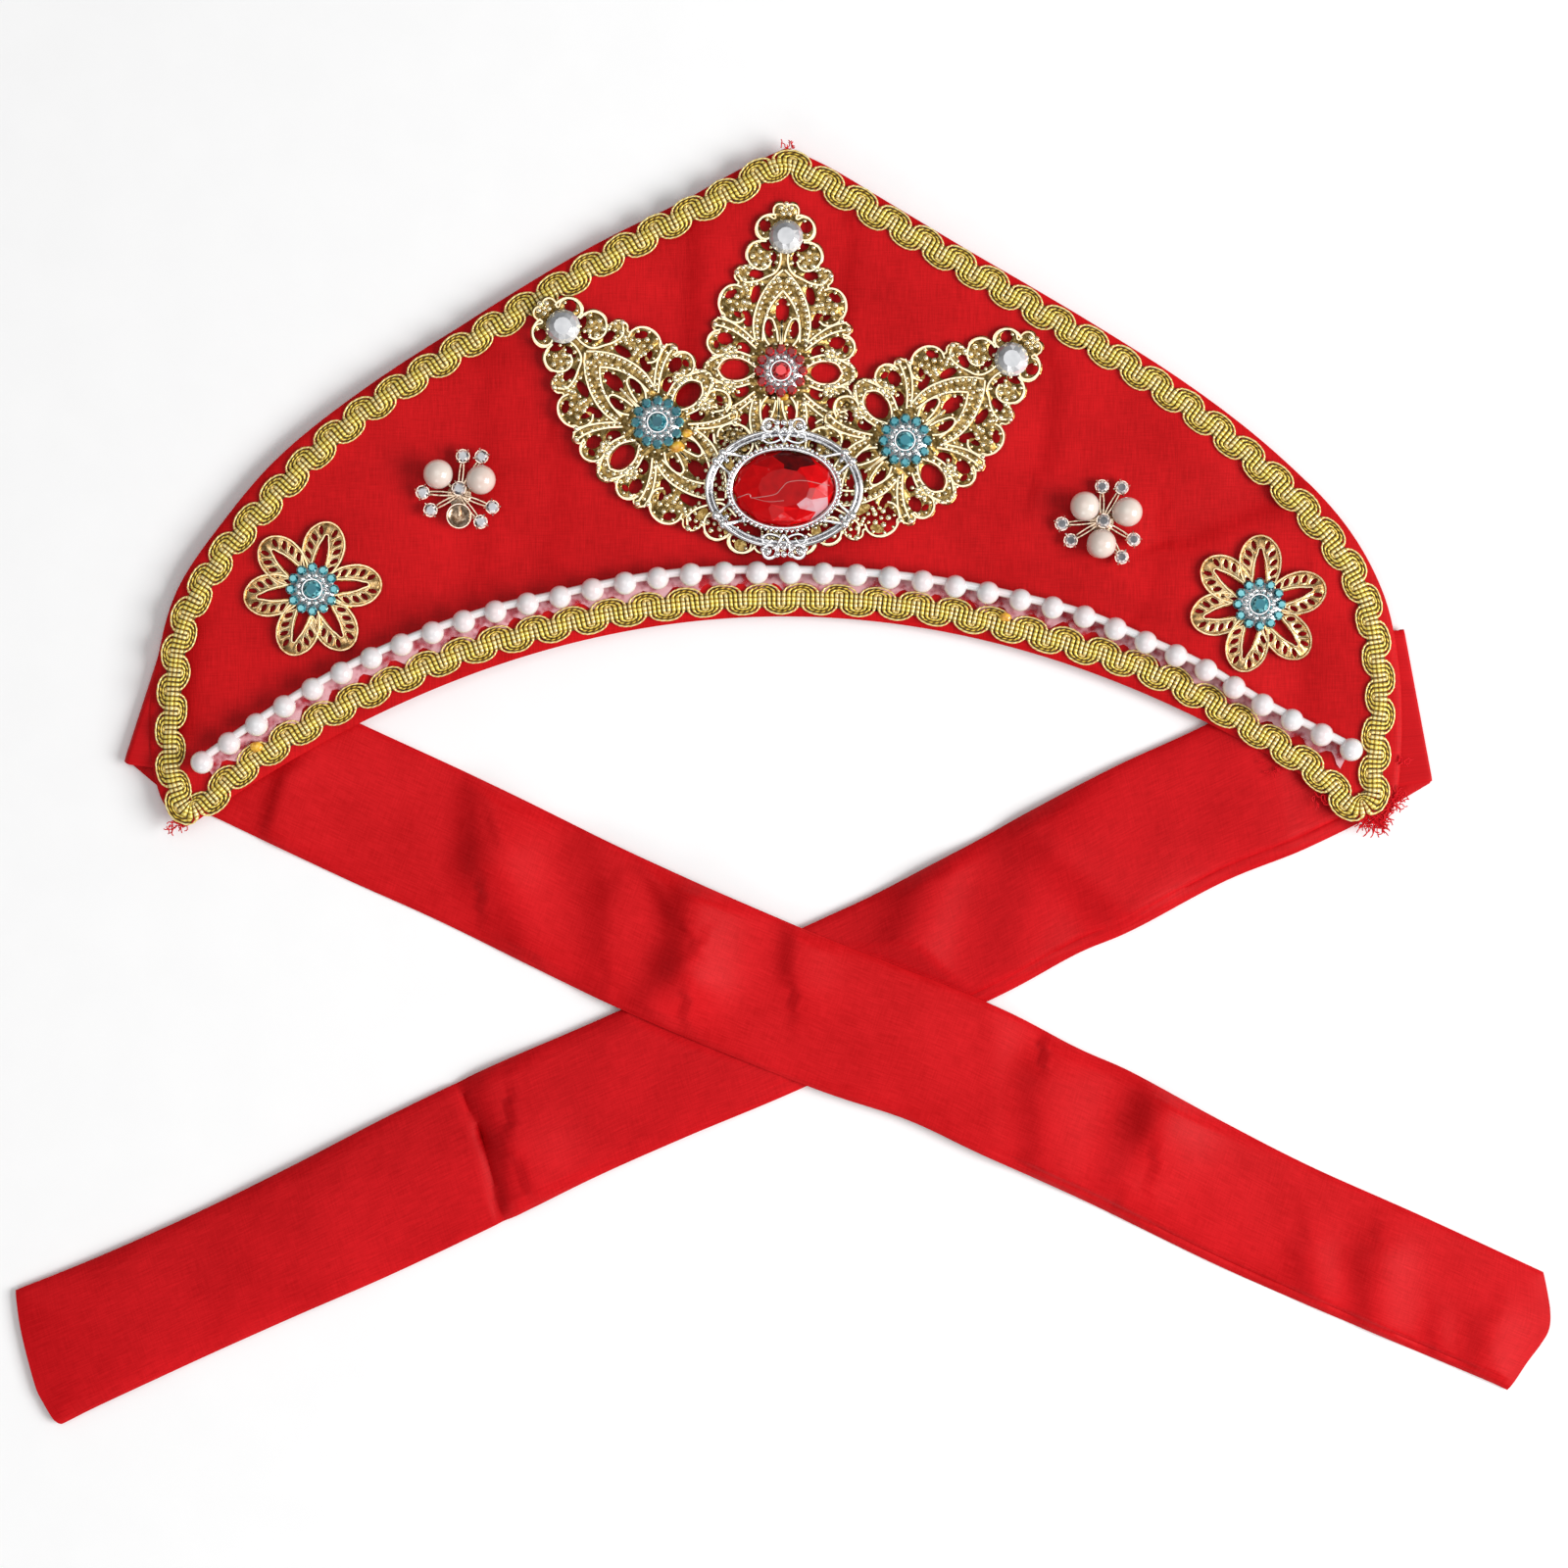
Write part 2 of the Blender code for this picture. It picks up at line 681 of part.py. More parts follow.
def petal_flower(name, middle, turns, look):
    outline, gaps = [], []
    for turn_degrees in sorted(turns):
        turn = math.radians(turn_degrees)
        out = Vector((math.cos(turn), math.sin(turn)))
        side = left_of(out)
        rise = [(reach * PETAL_REACH, -breadth * PETAL_WIDTH) for reach, breadth in PETAL_EDGE]
        fall = [(reach, -breadth) for reach, breadth in reversed(rise)]
        for reach, breadth in rise + [(PETAL_REACH, 0.0)] + fall:
            outline.append(out * reach + side * breadth)
        slot = out * PETAL_REACH * 0.64
        gaps.append(kite(slot, PETAL_REACH * 0.20, PETAL_WIDTH * 0.14, turn - math.pi / 2))
    heights = (FLOWER_RIM, FLOWER_CREST)
    place = (middle.x, middle.y, LAYER_ONE)
    return pierced_plate(name, outline, gaps, heights, look, place=place)


def on_oval(long, wide, turn):
    return Vector((long * math.cos(turn), wide * math.sin(turn)))


def oval_mount(silver, red):
    """Ring with six ornaments, open gaps, and a raised bezel round the stone."""
    long, wide = FRAME_LENGTH / 2, FRAME_WIDTH / 2
    inner_long = STONE_LENGTH / 2 + GAP
    inner_wide = STONE_WIDTH / 2 + GAP
    middle = Vector((0.0, ARCH_RISE + FRAME_RISE))
    outline = []
    for i in range(32):
        degrees = 11.25 * i + 2.5
        bump = 0.0
        for turn, share in FRAME_ORNAMENTS:
            away = abs((degrees - turn + 180) % 360 - 180)
            bump = max(bump, share * FRAME_RING * max(0.0, 1 - away / 14))
        outline.append(on_oval(long + bump, wide + bump, math.radians(degrees)))
    stops = [turn for turn, _ in FRAME_ORNAMENTS] + [FRAME_ORNAMENTS[0][0] + 360]
    gaps = []
    for start, end in zip(stops, stops[1:]):
        turns = [math.radians(start + 9 + (end - start - 18) * i / 3) for i in range(4)]
        outer = [on_oval(long - FRAME_RING, wide - FRAME_RING, turn) for turn in turns]
        inner = [on_oval(inner_long + BEZEL, inner_wide + BEZEL, turn) for turn in turns]
        gaps.append(outer + inner[::-1])
    seat = []
    for i in range(24):
        seat.append(on_oval(inner_long, inner_wide, 2 * math.pi * i / 24) * 1.01)
    place = (middle.x, middle.y, LAYER_FOUR)
    heights = (FRAME_HEIGHT * 0.7, FRAME_HEIGHT)
    pierced_plate("oval_frame", outline, gaps + [seat], heights, silver, place=place)
    cut_stone("oval_stone", place, (STONE_LENGTH / 2, STONE_WIDTH / 2), STONE_HEIGHT, red)


def far_side(turn, features, hub):
    """How far a union of discs reaches from the middle in one direction."""
    reach = hub
    for degrees, distance, radius in features:
        away = turn - math.radians(degrees)
        across = distance * math.sin(away)
        if math.cos(away) > 0 and abs(across) < radius:
            reach = max(reach, distance * math.cos(away) + math.sqrt(radius**2 - across**2))
    return reach


def brooch(name, middle, held_pearls, gold, white):
    """Three cups round a hub, six small stones between them, and the pearls in the cups."""
    cups = [(turn, CUP_REACH, CUP_RADIUS) for turn in CUPS.values()]
    stones = [(turn, SMALL_STONE_REACH, SMALL_STONE_RADIUS) for turn in SMALL_STONE_TURNS]
    outline = []
    for i in range(40):
        turn = math.radians(9 * i + 1)
        outline.append(Vector((math.cos(turn), math.sin(turn))) * far_side(turn, cups + stones, BROOCH_HUB))
    bosses = [(0.0, 0.0, CUP_RIM)]
    for degrees, distance, _ in stones:
        turn = math.radians(degrees)
        bosses.append((distance * math.cos(turn), distance * math.sin(turn), CUP_RIM))
    heights = (BROOCH_PLATE, BROOCH_PLATE)
    place = (middle.x, middle.y, LAYER_ONE)
    pierced_plate(f"brooch_{name}", outline, [], heights, gold, bosses, place=place)
    for number, (cup, turn_degrees) in enumerate(CUPS.items(), 1):
        if cup not in held_pearls:
            continue
        turn = math.radians(turn_degrees)
        shape = bmesh.new()
        bmesh.ops.create_uvsphere(shape, u_segments=10, v_segments=6, radius=PEARL_RADIUS)
        spot = middle + Vector((math.cos(turn), math.sin(turn))) * CUP_REACH
        height = LAYER_ONE + BROOCH_PLATE + GAP + PEARL_RADIUS
        finish(f"brooch_{name}_pearl_{number}", shape, white, (spot.x, spot.y, height))


def tie_line(side, length, out, fall_degrees):
    """Middle of a tie's fold, and the unit direction in which its free part runs."""
    fold = edge_point(TIE_FOLD_DROP, side) + Vector((side * out, 0.0))
    fall = math.radians(fall_degrees)
    return fold, Vector((-side * math.cos(fall), -math.sin(fall)))


def covered_stretch(lines):
    """Where along the left tie the two ties cross, and half the length that they share there."""
    (a, run_a), (b, run_b) = lines
    meet = crossing(a, a + run_a, b, b + run_b)
    angle = run_a.angle(run_b)
    half = TIE_WIDTH / 2
    return (meet - a).length, half / math.sin(angle) + half / abs(math.tan(angle))


def ties(look):
    sizes = {"left": (TIE_LEFT_LENGTH, TIE_LEFT_OUT), "right": (TIE_RIGHT_LENGTH, TIE_RIGHT_OUT)}
    lines = [tie_line(side, *sizes[name], fall) for name, side, fall, *_ in TIES]
    meet, half_cover = covered_stretch(lines)
    for (name, side, _, lean, *shares), (fold, run) in zip(TIES, lines):
        crease = Vector((-side * math.sin(math.radians(lean)), math.cos(math.radians(lean))))
        sections = sewn_and_folded(fold, run, crease, side)
        cover = (meet, half_cover) if side < 0 else (0.0, 0.0)
        sections += free_part(fold, run, crease, sizes[name][0], CREASES[name], cover, *shares)
        shape = bmesh.new()
        loft(shape, sections)
        finish(f"tie_{name}", shape, look)


def tube_section(middle, across, half, height, out, rises=(0.0, 0.0, 0.0), bulge=Vector((0.0, 0.0))):
    """One ring of a flattened tube: three points on its outer face, an edge, three inside, an edge.

    out is the outer face's unit direction, rises lift the inner face at its upper edge, middle and
    lower edge, and bulge moves the middle of both faces.
    """
    ring = []
    for sign, marks in ((1, (1, 0, -1)), (-1, (-1, 0, 1))):
        for mark in marks:
            spot = middle + across * (mark * (half - TIE_EDGE)) + bulge * (1 - abs(mark))
            lift = rises[1 - mark] if sign < 0 else 0.0
            face = out * (sign * TIE_THICKNESS / 2)
            ring.append((spot.x + face.x, spot.y + face.y, height + face.z + lift))
        edge = middle - across * (sign * half)
        ring.append((edge.x, edge.y, height))
    return ring


def sewn_and_folded(fold, run, crease, side):
    """The end sewn under the panel and the fold that brings the tie back below it."""
    outward = left_of(crease) * (1 if left_of(crease).x * side > 0 else -1)
    inward = 2 * run.dot(outward) * outward - run
    sewn_run = inward if inward.x * side < 0 else -inward
    sewn_across = left_of(sewn_run) * (1 if left_of(sewn_run).y > 0 else -1)
    half = TIE_WIDTH / 2
    upper = TIE_THICKNESS / 2 + 2 * TIE_TURN
    sections = [tube_section(fold + sewn_run * TIE_SEWN, sewn_across, half, upper, Vector((0, 0, 1)))]
    across_fold = half / abs(crease.dot(left_of(run)))
    for turn_degrees in (90, 45, 0, -45, -90):
        turn = math.radians(turn_degrees)
        flat_out = outward * math.cos(turn)
        height = (TIE_THICKNESS / 2 + upper) / 2 + TIE_TURN * math.sin(turn)
        out = Vector((flat_out.x, flat_out.y, math.sin(turn)))
        sections.append(tube_section(fold + flat_out * TIE_TURN, crease, across_fold, height, out))
    return sections


def free_part(fold, run, crease, length, creases, cover, end_width, bow, bulge):
    """The tie from its fold to its free end, creased, and lifted where it covers the other tie."""
    level = left_of(run) * (1 if run.x > 0 else -1)
    meet, half_cover = cover
    flat = (0.0, 0.0, 0.0)
    stations = {share / 20: flat for share in range(2, 21, 3)}
    for place, *rises in creases:
        stations[place - CREASE_HALF_LENGTH] = flat
        stations[place] = tuple(rise * CREASE_HEIGHT for rise in rises)
        stations[place + CREASE_HALF_LENGTH] = flat
    if half_cover:
        for sign in (-1, 1):
            for extra in (0.0, TIE_RAMP):
                stations[(meet + sign * half_cover) / length + sign * extra] = flat
    sections = []
    for share, rises in sorted(stations.items()):
        last = share == max(stations)
        middle = fold + run * (length * share) - level * (bow * length * math.sin(math.pi * share))
        across = level.lerp(crease, max(0.0, 1 - share / TIE_TWIST)).normalized()
        half = TIE_WIDTH / 2 * (1 + (end_width - 1) * share) / across.dot(level)
        if last:
            across = (level - run * TIE_END_SKEW).normalized()
        height = TIE_THICKNESS / 2
        if half_cover:
            away = abs(share * length - meet) - half_cover
            height += (TIE_THICKNESS + GAP) * min(1.0, max(0.0, 1 - away / (TIE_RAMP * length)))
        end_bulge = run * (bulge * TIE_END_BULGE if last else 0.0)
        sections.append(tube_section(middle, across, half, height, Vector((0, 0, -1)), rises, end_bulge))
    return sections


def centre_on_footprint():
    """Parents every piece to one empty, which centres the headdress over its footprint."""
    pieces = [thing for thing in bpy.data.objects if thing.type == "MESH"]
    bpy.context.view_layer.update()
    corners = [piece.matrix_world @ Vector(corner) for piece in pieces for corner in piece.bound_box]
    x = [corner.x for corner in corners]
    y = [corner.y for corner in corners]
    hold = bpy.data.objects.new("headdress", None)
    bpy.context.collection.objects.link(hold)
    for piece in pieces:
        piece.parent = hold
    hold.location = (-(min(x) + max(x)) / 2, -(min(y) + max(y)) / 2, 0.0)


def main():
    clear_scene()
    cloth = material("red_cloth", (0.68, 0.01, 0.015), 0.55)
    gold_thread = material("gold_thread", (0.78, 0.60, 0.20), 0.35, 1.0)
    gold = material("pale_gold", (0.85, 0.70, 0.42), 0.25, 1.0)
    silver = material("silver", (0.80, 0.80, 0.82), 0.20, 1.0)
    pearl = material("white_pearl", (0.88, 0.85, 0.83), 0.20)
    clear = material("clear_stone", (0.80, 0.84, 0.87), 0.05)
    red = material("red_stone", (0.45, 0.0, 0.01), 0.05)
    teal = material("teal_stone", (0.02, 0.35, 0.42), 0.08)
    front_panel(cloth)
    edge_braid(gold_thread)
    pearl_string(pearl)
    filigree_leaves(gold, {"top": red, "left": teal, "right": teal}, clear)
    for name, across, up, turns in FLOWERS:
        middle = on_panel(across, up)
        petal_flower(f"petal_flower_{name}", middle, turns, gold)
        rosette(f"flower_rosette_{name}", middle, LAYER_ONE + FLOWER_CREST + GAP, teal)
    oval_mount(silver, red)
    for name, across, up, held_pearls in BROOCHES:
        brooch(name, on_panel(across, up), held_pearls, gold, pearl)
    ties(cloth)
    centre_on_footprint()


main()
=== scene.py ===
import math
import random

import bmesh
import bpy
from mathutils import Matrix, Vector, noise


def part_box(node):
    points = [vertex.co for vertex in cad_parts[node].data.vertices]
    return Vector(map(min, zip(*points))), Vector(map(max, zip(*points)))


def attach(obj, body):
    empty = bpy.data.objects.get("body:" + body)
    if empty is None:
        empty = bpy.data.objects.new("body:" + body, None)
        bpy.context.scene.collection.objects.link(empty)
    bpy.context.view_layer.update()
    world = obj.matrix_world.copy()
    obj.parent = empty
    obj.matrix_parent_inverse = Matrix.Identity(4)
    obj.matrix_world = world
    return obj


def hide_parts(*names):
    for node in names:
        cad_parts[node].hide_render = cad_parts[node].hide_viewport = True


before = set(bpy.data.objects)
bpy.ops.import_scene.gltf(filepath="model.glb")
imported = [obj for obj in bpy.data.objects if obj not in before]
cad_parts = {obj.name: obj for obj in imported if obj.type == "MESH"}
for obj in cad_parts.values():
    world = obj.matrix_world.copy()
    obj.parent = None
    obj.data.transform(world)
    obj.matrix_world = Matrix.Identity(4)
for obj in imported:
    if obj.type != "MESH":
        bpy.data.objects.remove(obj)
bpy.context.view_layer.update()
print("frame loaded,", len(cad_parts), "nodes")

# where the photograph's pixels lie on the headdress
px = 0.000285                  # metres shown by one pixel
panelCorner = (151.3, 150.2)   # pixel at the panel's left side and at its peak
panelLow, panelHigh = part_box("front_panel")
clothTop = panelHigh.z
seat = clothTop + 0.0003       # where the ornaments stand


def spot(across, down, height=0.0):
    x = panelLow.x + (across - panelCorner[0]) * px
    y = panelHigh.y - (down - panelCorner[1]) * px
    return Vector((x, y, height))


def spots(pairs, height=0.0):
    return [spot(across, down, height) for across, down in pairs]


def up(height):
    return Vector((0, 0, height))


def outward(turn, reach=1.0, height=0.0):
    return Vector((reach * math.cos(turn), reach * math.sin(turn), height))


# a smooth line through a few points, with points at even distances along it
def smoothLine(points, count, closed=False):
    held = [points[-1], *points, *points[:2]] if closed else [points[0], *points, points[-1]]
    fine = []
    for a, b, c, d in zip(held, held[1:], held[2:], held[3:]):
        for step in range(16):
            t = step / 16
            straight = 2 * b + (c - a) * t
            bend = (2 * a - 5 * b + 4 * c - d) * t**2
            twist = (3 * b - a - 3 * c + d) * t**3
            fine.append((straight + bend + twist) / 2)
    fine.append(points[0].copy() if closed else points[-1].copy())
    marks = [0.0]
    for a, b in zip(fine, fine[1:]):
        marks.append(marks[-1] + (b - a).length)
    even = []
    place = 0
    for i in range(count + 1):
        goal = marks[-1] * i / count
        while place < len(marks) - 2 and marks[place + 1] < goal:
            place += 1
        share = (goal - marks[place]) / max(marks[place + 1] - marks[place], 1e-9)
        even.append(fine[place].lerp(fine[place + 1], min(1.0, share)))
    return even, marks[-1]


def pickOnly(*things):
    bpy.ops.object.select_all(action="DESELECT")
    for thing in things:
        thing.select_set(True)
        bpy.context.view_layer.objects.active = thing


def added(primitive, **settings):
    pickOnly()
    primitive(**settings)
    return bpy.context.active_object


def placeApplied(piece):
    pickOnly(piece)
    bpy.ops.object.transform_apply(location=True, rotation=True, scale=True)
    return piece


# moved, turned about +Z and scaled; three sizes or one for all
def laid(piece, place, turn=0.0, size=1.0):
    sizes = size if hasattr(size, "__len__") else (size, size, size)
    piece.matrix_world = Matrix.LocRotScale(Vector(place), Matrix.Rotation(turn, 3, "Z"), Vector(sizes))
    return piece


# a copy with a mesh of its own
def copied(piece, place=(0, 0, 0), turn=0.0, size=1.0):
    twin = piece.copy()
    twin.data = piece.data.copy()
    bpy.context.collection.objects.link(twin)
    return laid(twin, place, turn, size)


def modified(piece, kind, **settings):
    pickOnly(piece)
    modifier = piece.modifiers.new(kind.lower(), kind)
    for key, value in settings.items():
        setattr(modifier, key, value)
    bpy.ops.object.modifier_apply(modifier=modifier.name)
    return piece


def joined(parts):
    pickOnly(*parts)
    bpy.ops.object.join()
    return placeApplied(bpy.context.active_object)


def removed(*things):
    for thing in things:
        bpy.data.objects.remove(thing)


def finished(piece, name, slotName, *nodes, material=None, sharpAngle=40):
    if material:
        piece.data.materials.clear()
        piece.data.materials.append(material)
    pickOnly(piece)
    piece.name = piece.data.name = name
    bpy.ops.object.shade_smooth_by_angle(angle=math.radians(sharpAngle))
    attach(piece, "root")
    if nodes:
        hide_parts(*nodes)
    return piece


def knotted(line, points, smooth):
    line.bezier_points.add(len(points) - len(line.bezier_points))
    for knot, point in zip(line.bezier_points, points):
        knot.co = Vector(point).to_3d()
        knot.handle_left_type = knot.handle_right_type = "AUTO" if smooth else "VECTOR"


def meshOf(curve):
    pickOnly(curve)
    bpy.ops.object.convert(target="MESH")
    return placeApplied(bpy.context.active_object)


# a round wire along points; the thickness is its radius
def wire(points, thickness, closed=False, sides=1, smooth=True, swells=None):
    drawn = added(bpy.ops.curve.primitive_bezier_curve_add)
    line = drawn.data.splines[0]
    knotted(line, points, smooth)
    for knot, swell in zip(line.bezier_points, swells or ()):
        knot.radius = swell
    line.use_cyclic_u = closed
    drawn.data.resolution_u = 4 if smooth else 1
    drawn.data.bevel_depth = thickness
    drawn.data.bevel_resolution = sides
    drawn.data.use_fill_caps = not closed
    return meshOf(drawn)


# a flat sheet cut to an outline with holes in it, its edges rounded
def cutSheet(outline, holes, half, rounding, lift):
    drawn = added(bpy.ops.curve.primitive_bezier_curve_add)
    drawn.data.dimensions = "2D"
    drawn.data.splines.clear()
    for ring in (outline, *holes):
        line = drawn.data.splines.new("BEZIER")
        knotted(line, ring, True)
        line.use_cyclic_u = True
    drawn.data.resolution_u = 3
    drawn.data.fill_mode = "BOTH"
    drawn.data.extrude = half
    drawn.data.bevel_depth = rounding
    drawn.data.bevel_resolution = 0
    sheet = meshOf(drawn)
    bpy.ops.object.mode_set(mode="EDIT")
    bpy.ops.mesh.select_all(action="SELECT")
    bpy.ops.mesh.remove_doubles(threshold=0.000005)
    bpy.ops.mesh.normals_make_consistent(inside=False)
    bpy.ops.object.mode_set(mode="OBJECT")
    for vertex in sheet.data.vertices:
        vertex.co.z += lift
    return sheet


def ball(radius, place=(0, 0, 0), segments=10, rings=6):
    sphere = bpy.ops.mesh.primitive_uv_sphere_add
    return placeApplied(added(sphere, segments=segments, ring_count=rings, radius=radius, location=place))


def gridOf(along, across):
    return added(bpy.ops.mesh.primitive_grid_add, x_subdivisions=along, y_subdivisions=across, size=1.0)


# materials: a socket among the values is linked, anything else is set
def feed(tree, node, sockets):
    for key, value in sockets.items():
        if isinstance(value, bpy.types.NodeSocket):
            tree.links.new(value, node.inputs[key])
        else:
            node.inputs[key].default_value = value


def put(tree, kind, sockets=None, **settings):
    node = tree.nodes.new("ShaderNode" + kind)
    for key, value in settings.items():
        setattr(node, key, value)
    feed(tree, node, sockets or {})
    return node


def worked(tree, operation, *values, **settings):
    return put(tree, "Math", dict(enumerate(values)), operation=operation, **settings).outputs[0]


def ranged(tree, value, fromLow, fromHigh, toLow, toHigh):
    limits = {"From Min": fromLow, "From Max": fromHigh, "To Min": toLow, "To Max": toHigh}
    return put(tree, "MapRange", {"Value": value, **limits}).outputs[0]


def mixed(tree, share, first, second):
    return put(tree, "Mix", {"Factor": share, "A": first, "B": second}, data_type="FLOAT").outputs["Result"]


def attribute(tree, name):
    return put(tree, "Attribute", attribute_name=name).outputs["Fac"]


# soft noise, on Object coordinates where no place is given
def clouds(tree, scale, detail=2.0, place=None, roughness=0.5):
    place = place or put(tree, "TexCoord").outputs["Object"]
    sockets = {"Vector": place, "Scale": scale, "Detail": detail, "Roughness": roughness}
    return put(tree, "TexNoise", sockets).outputs["Fac"]


def tinted(tree, value, *stops):
    node = put(tree, "ValToRGB", {"Fac": value})
    band = node.color_ramp
    while len(band.elements) < len(stops):
        band.elements.new(0.5)
    for element, (place, colour) in zip(band.elements, stops):
        element.position = place
        element.color = (*colour, 1.0)
    return node.outputs["Color"]


def newMaterial(name, **sockets):
    made = bpy.data.materials.new(name)
    made.use_nodes = True
    shader = made.node_tree.nodes["Principled BSDF"]
    feed(made.node_tree, shader, {key.replace("_", " "): value for key, value in sockets.items()})
    return made, made.node_tree, shader


# a material whose colour only drifts softly between a few stops
def cloudyMaterial(name, scale, detail, *stops, **sockets):
    made, tree, shader = newMaterial(name, **sockets)
    feed(tree, shader, {"Base Color": tinted(tree, clouds(tree, scale, detail), *stops)})
    return made


def newGroup(name, inputs, outputs):
    group = bpy.data.node_groups.new(name, "ShaderNodeTree")
    for way, sockets in (("INPUT", inputs), ("OUTPUT", outputs)):
        for label, kind in sockets:
            group.interface.new_socket(name=label, in_out=way, socket_type="NodeSocket" + kind)
    return group, group.nodes.new("NodeGroupInput").outputs, group.nodes.new("NodeGroupOutput")


def placedGroup(tree, group, **sockets):
    node = tree.nodes.new("ShaderNodeGroup")
    node.node_tree = group
    feed(tree, node, sockets)
    return node.outputs


# woven cloth: fine threads one way, soft slubs the other, and a faint unevenness
def makeWeave():
    group, given, result = newGroup(
        "clothWeave",
        (("Place", "Vector"), ("Thread", "Float"), ("Slub", "Float"), ("Depth", "Float")),
        (("Shade", "Float"), ("Normal", "Vector")),
    )
    stretch = put(group, "CombineXYZ", {"X": given["Thread"], "Y": given["Slub"], "Z": 1.0}).outputs[0]
    turned = put(group, "Mapping", {"Vector": given["Place"], "Rotation": (0, 0, math.pi / 2)}).outputs[0]
    threads = []
    for place, scale, detail, roughness in ((given["Place"], 1.0, 2.0, 0.6), (turned, 1.1, 1.0, 0.5)):
        scaled = put(group, "VectorMath", {0: place, 1: stretch}, operation="MULTIPLY").outputs[0]
        threads.append(clouds(group, scale, detail, scaled, roughness))
    both = mixed(group, 0.35, *threads)
    shade = mixed(group, 0.35, both, clouds(group, 45.0, place=given["Place"]))
    bump = put(group, "Bump", {"Distance": 0.0001, "Strength": given["Depth"], "Height": both})
    feed(group, result, {"Shade": shade, "Normal": bump.outputs["Normal"]})
    return group


# cast or stamped metal: painted shade and patina low in the relief, painted light high, fine pitting, uneven
# polish
def makeShadeAndWear():
    group, given, result = newGroup(
        "metalShadeAndWear",
        (("Place", "Vector"), ("Relief", "Float"), ("Size", "Float"), ("Pitting", "Float")),
        (("ShadeAndPatina", "Float"), ("Polish", "Float"), ("Normal", "Vector")),
    )
    coarse = clouds(group, given["Size"], 3.0, given["Place"], 0.65)
    fine = clouds(group, worked(group, "MULTIPLY", given["Size"], 3.5), 2.0, given["Place"])
    uneven = ranged(group, coarse, 0.3, 0.7, -0.25, 0.25)
    # low relief plus a little random tone: painted shade and patina where it is low
    shadeAndPatina = worked(group, "ADD", given["Relief"], uneven, use_clamp=True)
    bump = put(group, "Bump", {"Distance": 0.0002, "Strength": given["Pitting"], "Height": fine})
    feed(group, result, {"ShadeAndPatina": shadeAndPatina, "Polish": fine, "Normal": bump.outputs["Normal"]})
    return group


weave = makeWeave()
shadeAndWear = makeShadeAndWear()


def clothMaterial(name, deep, bright, uvName=None, thread=2600.0, slub=150.0):
    made, tree, shader = newMaterial(name, Roughness=0.5, Specular_IOR_Level=0.10)
    if uvName:
        place = put(tree, "UVMap", uv_map=uvName).outputs["UV"]
    else:
        place = put(tree, "TexCoord").outputs["Object"]
    cloth = placedGroup(tree, weave, Place=place, Thread=thread, Slub=slub, Depth=0.35)
    colour = tinted(tree, cloth["Shade"], (0.36, deep), (0.62, bright))
    feed(tree, shader, {"Base Color": colour, "Normal": cloth["Normal"]})
    return made


def metalMaterial(name, low, middle, high, roughness, size=900.0, pitting=0.15, spread=0.12):
    made, tree, shader = newMaterial(name, Metallic=1.0)
    place = put(tree, "TexCoord").outputs["Object"]
    wornAndShaded = placedGroup(tree, shadeAndWear, Place=place, Relief=attribute(tree, "relief"), Size=size, Pitting=pitting)
    # dark low in the relief and bright high on it: painted shade in the hollows and painted light on the
    # tops, with patina
    colour = tinted(tree, wornAndShaded["ShadeAndPatina"], (0.12, low), (0.5, middle), (0.9, high))
    gloss = ranged(tree, wornAndShaded["Polish"], 0.0, 1.0, roughness - spread / 2, roughness + spread / 2)
    feed(tree, shader, {"Base Color": colour, "Roughness": gloss, "Normal": wornAndShaded["Normal"]})
    return made


def clamped(value):
    return min(1.0, max(0.0, value))


# how high each point of a cast piece stands, kept for the painted shade and patina in its hollows and
# painted light on its tops
def keepRelief(piece, low, high):
    heights = piece.data.attributes.new("relief", "FLOAT", "POINT")
    for vertex, item in zip(piece.data.vertices, heights.data):
        item.value = clamped((vertex.co.z - low) / (high - low))


# stage, camera and light
studio = {
    "frameWidth": 0.456,       # metres across the view, at the panel
    "lens": 100.0, "sensor": 36.0,
    "middle": (800.0, 800.0),  # pixel under the lens
    "lamps": (
        # name, place, size, power
        ("keyLight", (1.85, -0.40, 1.48), 1.40, 60.0),
        ("softbox", (-0.15, 0.25, 1.75), 1.30, 6.0),
        ("frontLight", (-0.30, -1.50, 0.90), 0.70, 3.0),
    ),
    "sky": 0.28,
    "paper": ((0.3, (0.97, 0.97, 0.97)), (0.7, (0.985, 0.985, 0.985))),
}


def setStage():
    floor = added(bpy.ops.mesh.primitive_plane_add, size=6.0, location=(0, 0, -0.0002))
    floor.name = "paleFloor"
    floor.data.materials.append(cloudyMaterial("palePaper", 60.0, 3.0, *studio["paper"], Roughness=0.85))

    rise = studio["frameWidth"] * studio["lens"] / studio["sensor"] + clothTop
    camera = added(bpy.ops.object.camera_add, location=spot(*studio["middle"], rise), rotation=(0, 0, 0))
    camera.data.lens = studio["lens"]
    camera.data.sensor_width = studio["sensor"]
    camera.data.clip_start = 0.01
    bpy.context.scene.camera = camera

    for name, place, size, power in studio["lamps"]:
        lamp = added(bpy.ops.object.light_add, type="AREA", location=place)
        lamp.name = name
        lamp.data.size = size
        lamp.data.energy = power
        lamp.rotation_euler = (-Vector(place)).to_track_quat("-Z", "Y").to_euler()
    sky = bpy.data.worlds.new("studioSky")
    sky.use_nodes = True
    background = sky.node_tree.nodes["Background"]
    feed(sky.node_tree, background, {"Color": (1.0, 1.0, 1.0, 1.0), "Strength": studio["sky"]})
    bpy.context.scene.world = sky
    bpy.context.scene.view_settings.view_transform = "Standard"


setStage()
print("stage set")

